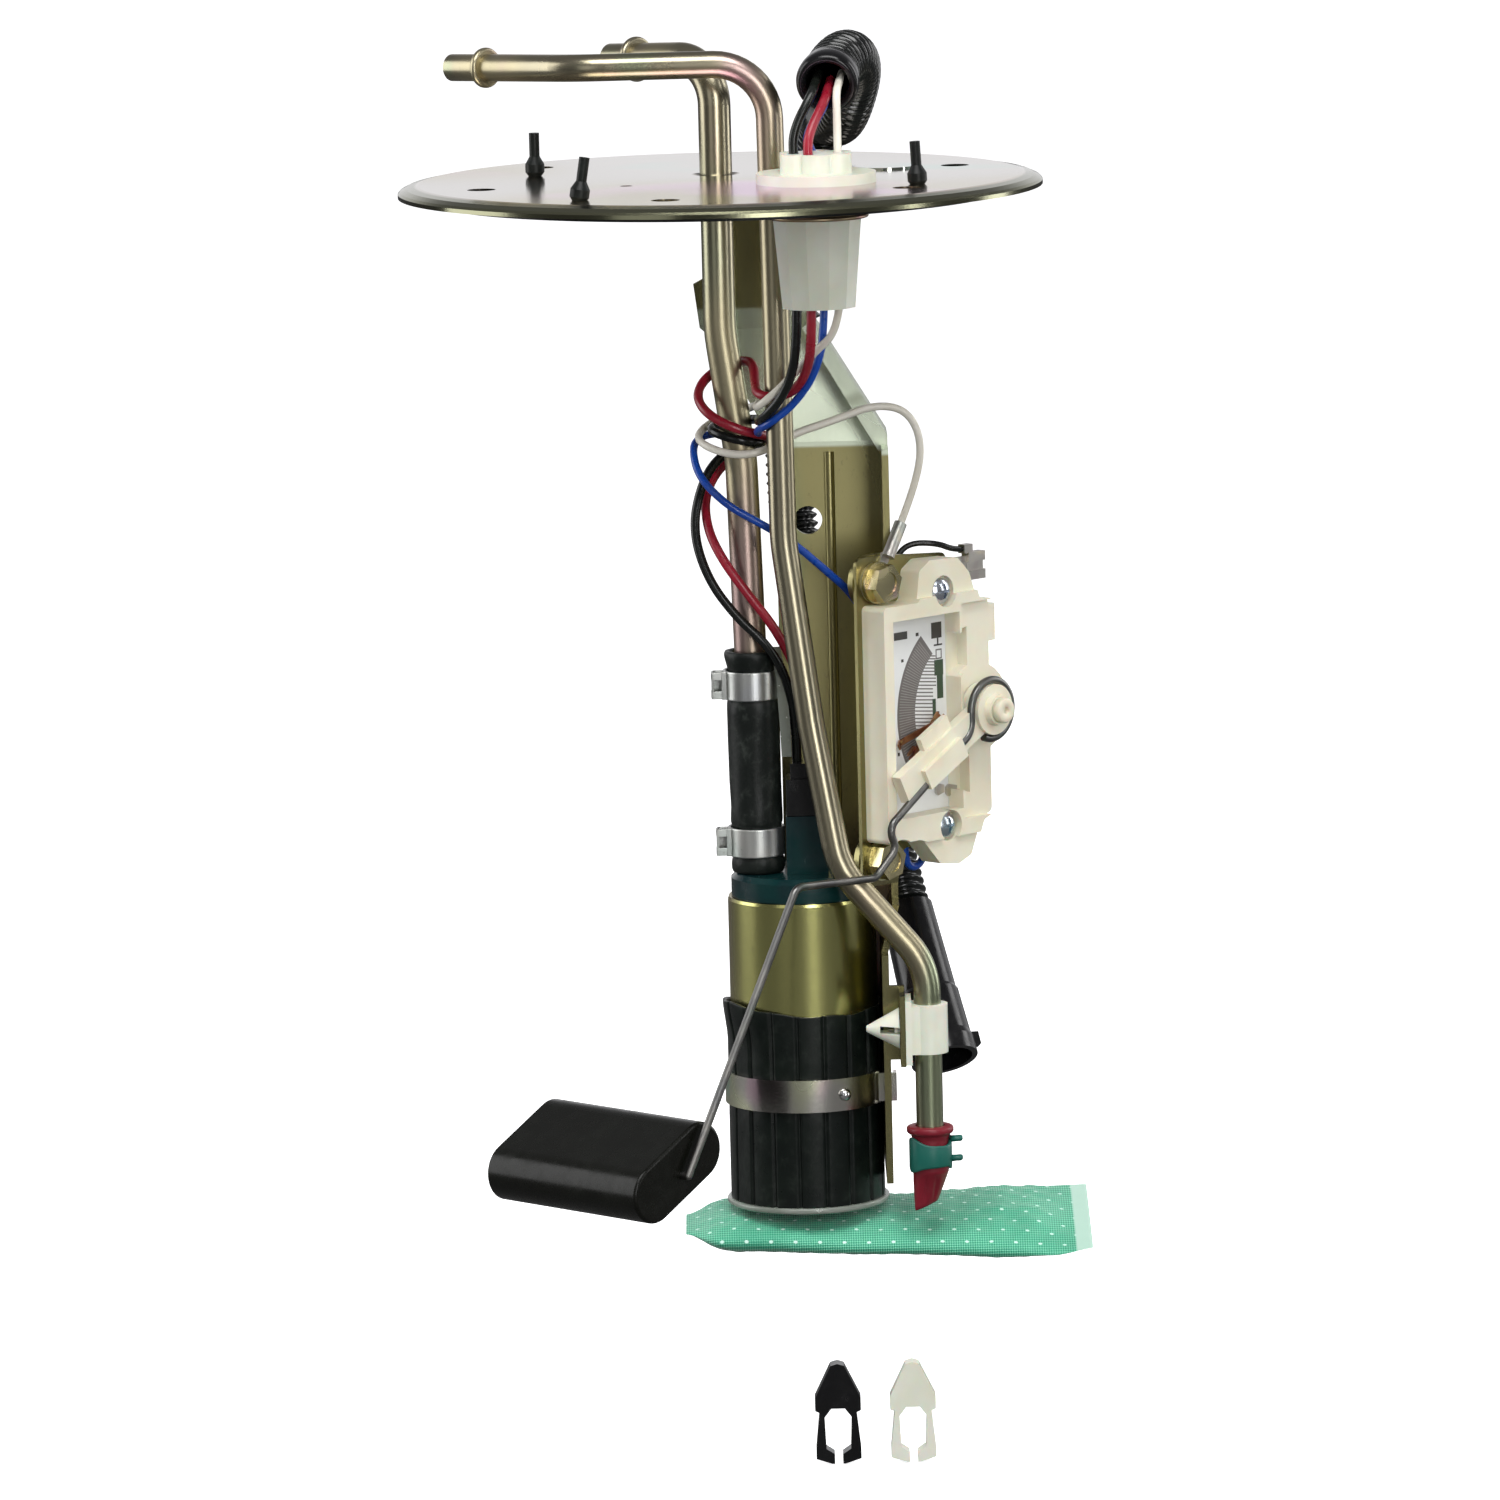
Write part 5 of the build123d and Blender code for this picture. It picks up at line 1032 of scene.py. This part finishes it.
pieces = [
    print_shapes("track_arc", [sector(22.8, 30.4, 130.0, 216.0, 48)], INK_GREY),
    print_shapes(
        "track_lines", [sector(22.9, 29.6, 133.0 + 1.62 * k, 133.55 + 1.62 * k, 1) for k in range(50)],
        INK_LINE, 0.02, CARD_FACE + FILM,
    ),
]
comb = []
for k in range(27):
    degrees = 132.5 + 2.75 * k
    x0, z0 = at_hub(22.9, degrees)
    x1 = 22.6 if z0 > -150 else 21.2
    drop = (x1 - x0) * 0.12
    comb.append([(x0, z0 - 0.18), (x1, z0 - drop - 0.18), (x1, z0 - drop + 0.18), (x0, z0 + 0.18)])
pieces.append(print_shapes("comb_traces", comb, INK_GREY))
pieces.append(print_shapes("dark_pads", [
    oblong(4.9, 10.6, -135.7, -133.4), oblong(21.0, 25.4, -136.9, -132.2), oblong(14.3, 15.5, -135.4, -134.4),
    oblong(7.8, 8.8, -142.4, -141.5), oblong(22.8, 23.7, -159.6, -158.7), oblong(23.4, 24.0, -138.9, -136.8),
    oblong(22.0, 25.6, -139.2, -138.7), oblong(5.5, 6.3, -169.9, -168.9),
], INK_DARK))
pieces.append(print_shapes("green_pads", [
    oblong(22.0, 25.8, -148.0, -143.4), oblong(23.0, 25.6, -154.9, -147.9), oblong(20.9, 22.3, -164.0, -154.8),
], INK_GREEN))
pieces.append(print_shapes("open_pad", [
    oblong(22.7, 25.3, -140.6, -140.2), oblong(22.7, 25.3, -143.2, -142.8), oblong(22.7, 23.1, -142.8, -140.6),
    oblong(24.9, 25.3, -142.8, -140.6),
], INK_GREY))
print("prints:", [piece.name for piece in pieces])

# %% [markdown]
# The isolator sleeve is a soft rubber tube cut into upright panels by thin grooves. It is
# stretched over the can, so its free upper edge stands away on the left and waves a little,
# and the strap pinches its middle.

# %% Isolator sleeve
PUMP = (18.7, 14.0)
SLEEVE_PANELS = 18
SLEEVE_LOW, SLEEVE_TOP = -301.2, -243.6
SLEEVE_IN_R, SLEEVE_OUT_R, STRAP_Z, LIP_LEANS_TO = 21.85, 22.75, -267.8, math.radians(202)
# One panel, as degrees from its left groove and how far the rubber stands out there.
PANEL = [
    (0.0, -0.8), (0.9, -0.75), (1.5, -0.05), (3.0, 0.06), (10.0, -0.06), (17.0, 0.06), (18.5, -0.05),
    (19.1, -0.75),
]


def sleeve_ring(height, inner):
    """One level of the sleeve: grooves between panels outside, and a lip that leans off the can."""
    ring = []
    share = (height - SLEEVE_LOW) / (SLEEVE_TOP - SLEEVE_LOW)
    lip = smooth_step((share - 0.82) / 0.18)
    for panel in range(SLEEVE_PANELS):
        for offset, stands in PANEL:
            angle = math.radians(20.0 * panel + offset + 4.0)
            lean = max(0.0, math.cos(angle - LIP_LEANS_TO)) ** 4
            radius = SLEEVE_IN_R if inner else SLEEVE_OUT_R + stands
            radius += 1.8 * lean * lip + 0.15 * math.sin(5 * angle + 1.0) * lip
            if not inner:
                radius += 0.08 * math.sin(3 * angle + height * 0.05)
                radius -= (0.15 + max(0.0, stands)) * math.exp(-((height - STRAP_Z) / 5.6) ** 6)
            top = height
            if share > 0.86:
                droop = 0.9 * max(0.0, math.cos(angle + math.radians(60))) ** 2
                top += (2.2 * lean - droop + 0.25 * math.sin(9 * angle)) * (share - 0.86) / 0.14
            ring.append((PUMP[0] + radius * math.cos(angle), PUMP[1] + radius * math.sin(angle), top))
    return ring


levels_up = [SLEEVE_LOW, -300.9] + [-299 + 2.25 * k for k in range(25)] + [-244.4, -243.9, SLEEVE_TOP]
levels_down = [SLEEVE_TOP, -244.6, -250, -256, -270, SLEEVE_LOW]
rings = [sleeve_ring(z, False) for z in levels_up] + [sleeve_ring(z, True) for z in levels_down]
sleeve = lofted("isolator", FINISHES["sleeve"], rings, wrap=True)
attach(sleeve, "module")
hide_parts("isolator_sleeve")
print("sleeve:", len(sleeve.data.polygons), "faces")

# %% Clear collar under the can
COLLAR = [
    (19.5, -301.3), (23.7, -301.3), (24.0, -301.6), (24.0, -302.5), (23.7, -302.9), (22.9, -303.0),
    (19.5, -303.0),
]
collar = turned("collar", COLLAR, PUMP, FINISHES["frost"], 96, corners=0.1)
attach(collar, "module")
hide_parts("strainer_collar")

# %% Connector's lock ring
RING = [
    (12.6, -0.2), (14.2, -0.2), (14.5, -0.6), (14.5, -6.9), (14.9, -7.3), (14.9, -7.9), (14.5, -8.2),
    (12.6, -8.2),
]
lock_ring = turned("lock_ring", RING, CONNECTOR, FINISHES["ring"], 96, corners=0.15)
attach(lock_ring, "module")
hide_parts("connector_ring")

# %% [markdown]
# Each hose clamp is one strip of zinc-plated steel bent round the hose. Its ends hook into
# each other and the ear between them is crimped, which leaves a square loop with a dark
# pocket on the left of the hose.

# %% Ear clamps
CLAMP_BAND = ((7.5, -4.2), (8.25, -4.25), (8.4, -4.0), (8.4, 4.0), (8.25, 4.25), (7.5, 4.2))
# The loop is a bent strip seen from above: out along its outside, and back along its inside.
LOOP = (
    (-7.2, -3.6), (-9.0, -4.3), (-12.6, -4.4), (-13.3, -3.9), (-13.5, -1.0), (-13.2, 1.2), (-12.4, 1.8),
    (-9.0, 1.9), (-7.6, 1.4), (-7.6, 0.7), (-9.0, 1.1), (-11.9, 1.0), (-12.4, 0.6), (-12.7, -1.0),
    (-12.5, -3.2), (-12.2, -3.5), (-9.0, -3.4), (-7.2, -2.8),
)
# Each piece of the ear as an outline with a lower and an upper edge: the loop's two strips,
# the pocket's back wall and the two upright edges of its window.
EAR = [(LOOP, -3.9, -1.6), (LOOP, 1.7, 3.9)] + [
    (((x0, y0), (x1, y0), (x1, y1), (x0, y1)), -half, half) for x0, x1, y0, y1, half in (
        (-12.6, -8.0, 0.5, 1.0, 3.6), (-13.35, -12.2, -4.4, -3.4, 3.9), (-9.3, -7.3, -4.35, -3.2, 4.1),
    )
]
EAR_FROM, DRAWN_IN = -7.2, 0.74


def clamp_band(name, z, cx):
    bm = bmesh.new()
    skin_of_rings(bm, [[
        (cx + (radius + 0.05 * math.sin(3 * a)) * math.cos(a), HOSE_Y + radius * math.sin(a),
         z + rise + 0.12 * math.sin(a)) for a in angles(80)
    ] for radius, rise in CLAMP_BAND], wrap=True)
    for outline, low, high in EAR:
        drawn = [(cx + (EAR_FROM + (x - EAR_FROM) * DRAWN_IN), HOSE_Y + y) for x, y in outline]
        skin_of_rings(bm, [[(x, y, z + h) for x, y in drawn] for h in (low, high)], closed_ends=True)
    piece = mesh_piece(name, bm, FINISHES["clamp"], smooth=False)
    edges = piece.modifiers.new("edges", "BEVEL")
    edges.width, edges.segments, edges.limit_method = 0.00022, 2, "ANGLE"
    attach(piece, "module")
    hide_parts("hose_clamps")
    return piece


clamps = [clamp_band("clamp_high", -148.0, 5.47), clamp_band("clamp_low", -194.5, 5.83)]
print("clamps:", [len(piece.data.polygons) for piece in clamps])

# %% [markdown]
# The conduit's mouth is a smooth rolled lip with a real wall. It is made of rings that
# follow the conduit's own line, first forward over the lip and then back down the inside.

# %% Conduit mouth
def frame_along(path, wanted):
    """The place on a line at a distance from its start, with two directions across it."""
    walked, k = 0.0, 0
    while k < len(path) - 2 and walked + (path[k + 1] - path[k]).length < wanted:
        walked += (path[k + 1] - path[k]).length
        k += 1
    forward = (path[k + 1] - path[k]).normalized()
    side = forward.cross(Vector((1, 0, 0))).normalized()
    return path[k] + forward * (wanted - walked), side, forward.cross(side)


# Each ring of the lip: its distance from the conduit's start and its radius.
LIP = [
    (9.0, 8.1), (5.0, 8.7), (2.6, 8.9), (1.1, 8.7), (0.3, 8.2), (0.0, 7.6), (0.3, 6.9), (1.1, 6.5), (3.0, 6.4),
    (8.0, 6.4), (16.0, 6.45), (26.0, 6.4),
]
rings = []
for distance, radius in LIP:
    spot, side, over = frame_along(conduit_path, distance * MM)
    spokes = (side * math.cos(a) + over * math.sin(a) for a in angles(64))
    rings.append([(spot + spoke * radius * MM) / MM for spoke in spokes])
mouth_lip = lofted("conduit_mouth", FINISHES["black"], rings)
thick = mouth_lip.modifiers.new("wall", "SOLIDIFY")
thick.thickness, thick.offset = 0.0003, -1
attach(mouth_lip, "module")
print("conduit mouth:", len(mouth_lip.data.polygons), "faces")

# %% [markdown]
# A clear strip of nylon, the tail of the tie that gathers the pump's two leads, hangs
# beside the hose and ends on the pump plug. The card's two spring contacts show through a
# window low on the sender's housing.

# %% Tie tail and card contacts
TAIL = (
    (12.9, 6.6, -136.6, 1.2), (13.6, 7.6, -142.0, 1.5), (14.4, 8.6, -150.0, 1.55), (15.0, 9.0, -160.0, 1.5),
    (15.3, 9.1, -169.6, 1.5),
)
STRIP = ((-1, 0.25), (-1, -0.25), (1, -0.25), (1, 0.25))
rings = [[(x + a * half, y + b, z) for a, b in STRIP] for x, y, z, half in TAIL]
tail = lofted("tie_tail", FINISHES["frost"], rings, closed_ends=True, smooth=False)
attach(tail, "module")
# A contact's corners: a share of its width, a step along and a step up.
CONTACT = ((-0.5, 0, -1.0), (-0.5, 0.8, -1.9), (0.5, 0, -1.2), (0.5, 0, 1.0), (-0.25, 0, 1.7), (-0.5, 0, 0.8))
for number, (x, z, wide) in enumerate(((22.6, -181.6, 3.4), (27.6, -182.4, 4.4)), 1):
    shape = [(x + wide * share + step, z + up) for share, step, up in CONTACT]
    contact = slabs("card_contact_%d" % number, FINISHES["contact"], 4.05, 4.9, shape)
    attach(contact, "module")

# %% [markdown]
# The wiper's spring is a copper leaf along the carrier's upper edge. Its end is slit into
# three fingers that press on the card's arc.

# %% Wiper leaf
for name, low, high, shape in (
    ("wiper_leaf", 6.2, 6.5, [
        (21.8, -159.6), (20.2, -158.1), (11.6, -166.6), (9.6, -169.6), (11.4, -171.2), (13.6, -168.9),
    ]),
    ("wiper_finger_1", 5.5, 6.3, [(11.0, -167.9), (10.3, -167.2), (8.0, -169.2), (7.9, -170.0)]),
    ("wiper_finger_2", 5.5, 6.3, [(11.6, -169.2), (11.0, -168.5), (8.6, -170.7), (8.6, -171.5)]),
    ("wiper_finger_3", 5.5, 6.3, [(12.2, -170.5), (11.6, -169.8), (9.6, -171.7), (9.9, -172.5)]),
):
    leaf = slabs(name, FINISHES["copper"], low, high, shape)
    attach(leaf, "float_arm")

# %% [markdown]
# The pivot's end stands proud of the carrier and has a small hole for its pin.

# %% Pivot's end
PIVOT = (
    (3.7, 16.9), (3.7, 19.2), (3.5, 19.6), (3.2, 19.8), (1.2, 19.8), (1.05, 19.6), (1.0, 18.4), (0.1, 18.4),
)
rings = [
    [sender_point(HUB[0] + radius * math.cos(a), HUB[1] + radius * math.sin(a), out) for a in angles(48)]
    for radius, out in PIVOT
]
pivot = lofted("pivot_end", FINISHES["cream"], rings, closed_ends=True)
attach(pivot, "float_arm")
print("tail, contacts, leaf and pivot made")

# %% [markdown]
# The outlet valve's coil spring is shut in the nipple; its poppet lifts by 2 mm. Over the spring's 9 mm
# it has one closed turn at each end and evenly open turns between.

# %% Outlet valve's spring
SPRING_X, SPRING_Y, SPRING_LOW, SPRING_HIGH = 6.5, 12.0, -206.5, -197.5
COIL_R, WIRE_R, TURNS, STEPS, VALVE_LIFT = 1.9, 0.25, 7, 20, 2.0
wound, z = [], SPRING_LOW + WIRE_R
open_pitch = (SPRING_HIGH - SPRING_LOW - 6.1 * WIRE_R) / (TURNS - 2)
for k in range(TURNS * STEPS + 1):
    a = 2 * math.pi * k / STEPS
    wound.append((SPRING_X + COIL_R * math.cos(a), SPRING_Y + COIL_R * math.sin(a), z))
    z += (open_pitch if STEPS <= k < (TURNS - 1) * STEPS else 2.05 * WIRE_R) / STEPS
coil = lead_curve("spring_curve", wound, WIRE_R, 3)
coil.data.materials.append(FINISHES["bright"])
spring = plain_mesh(coil, "valve_coil")
bpy.data.objects.remove(coil)
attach(spring, "module")
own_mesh(spring)
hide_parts("valve_spring")
print("valve spring:", len(spring.data.polygons), "faces")
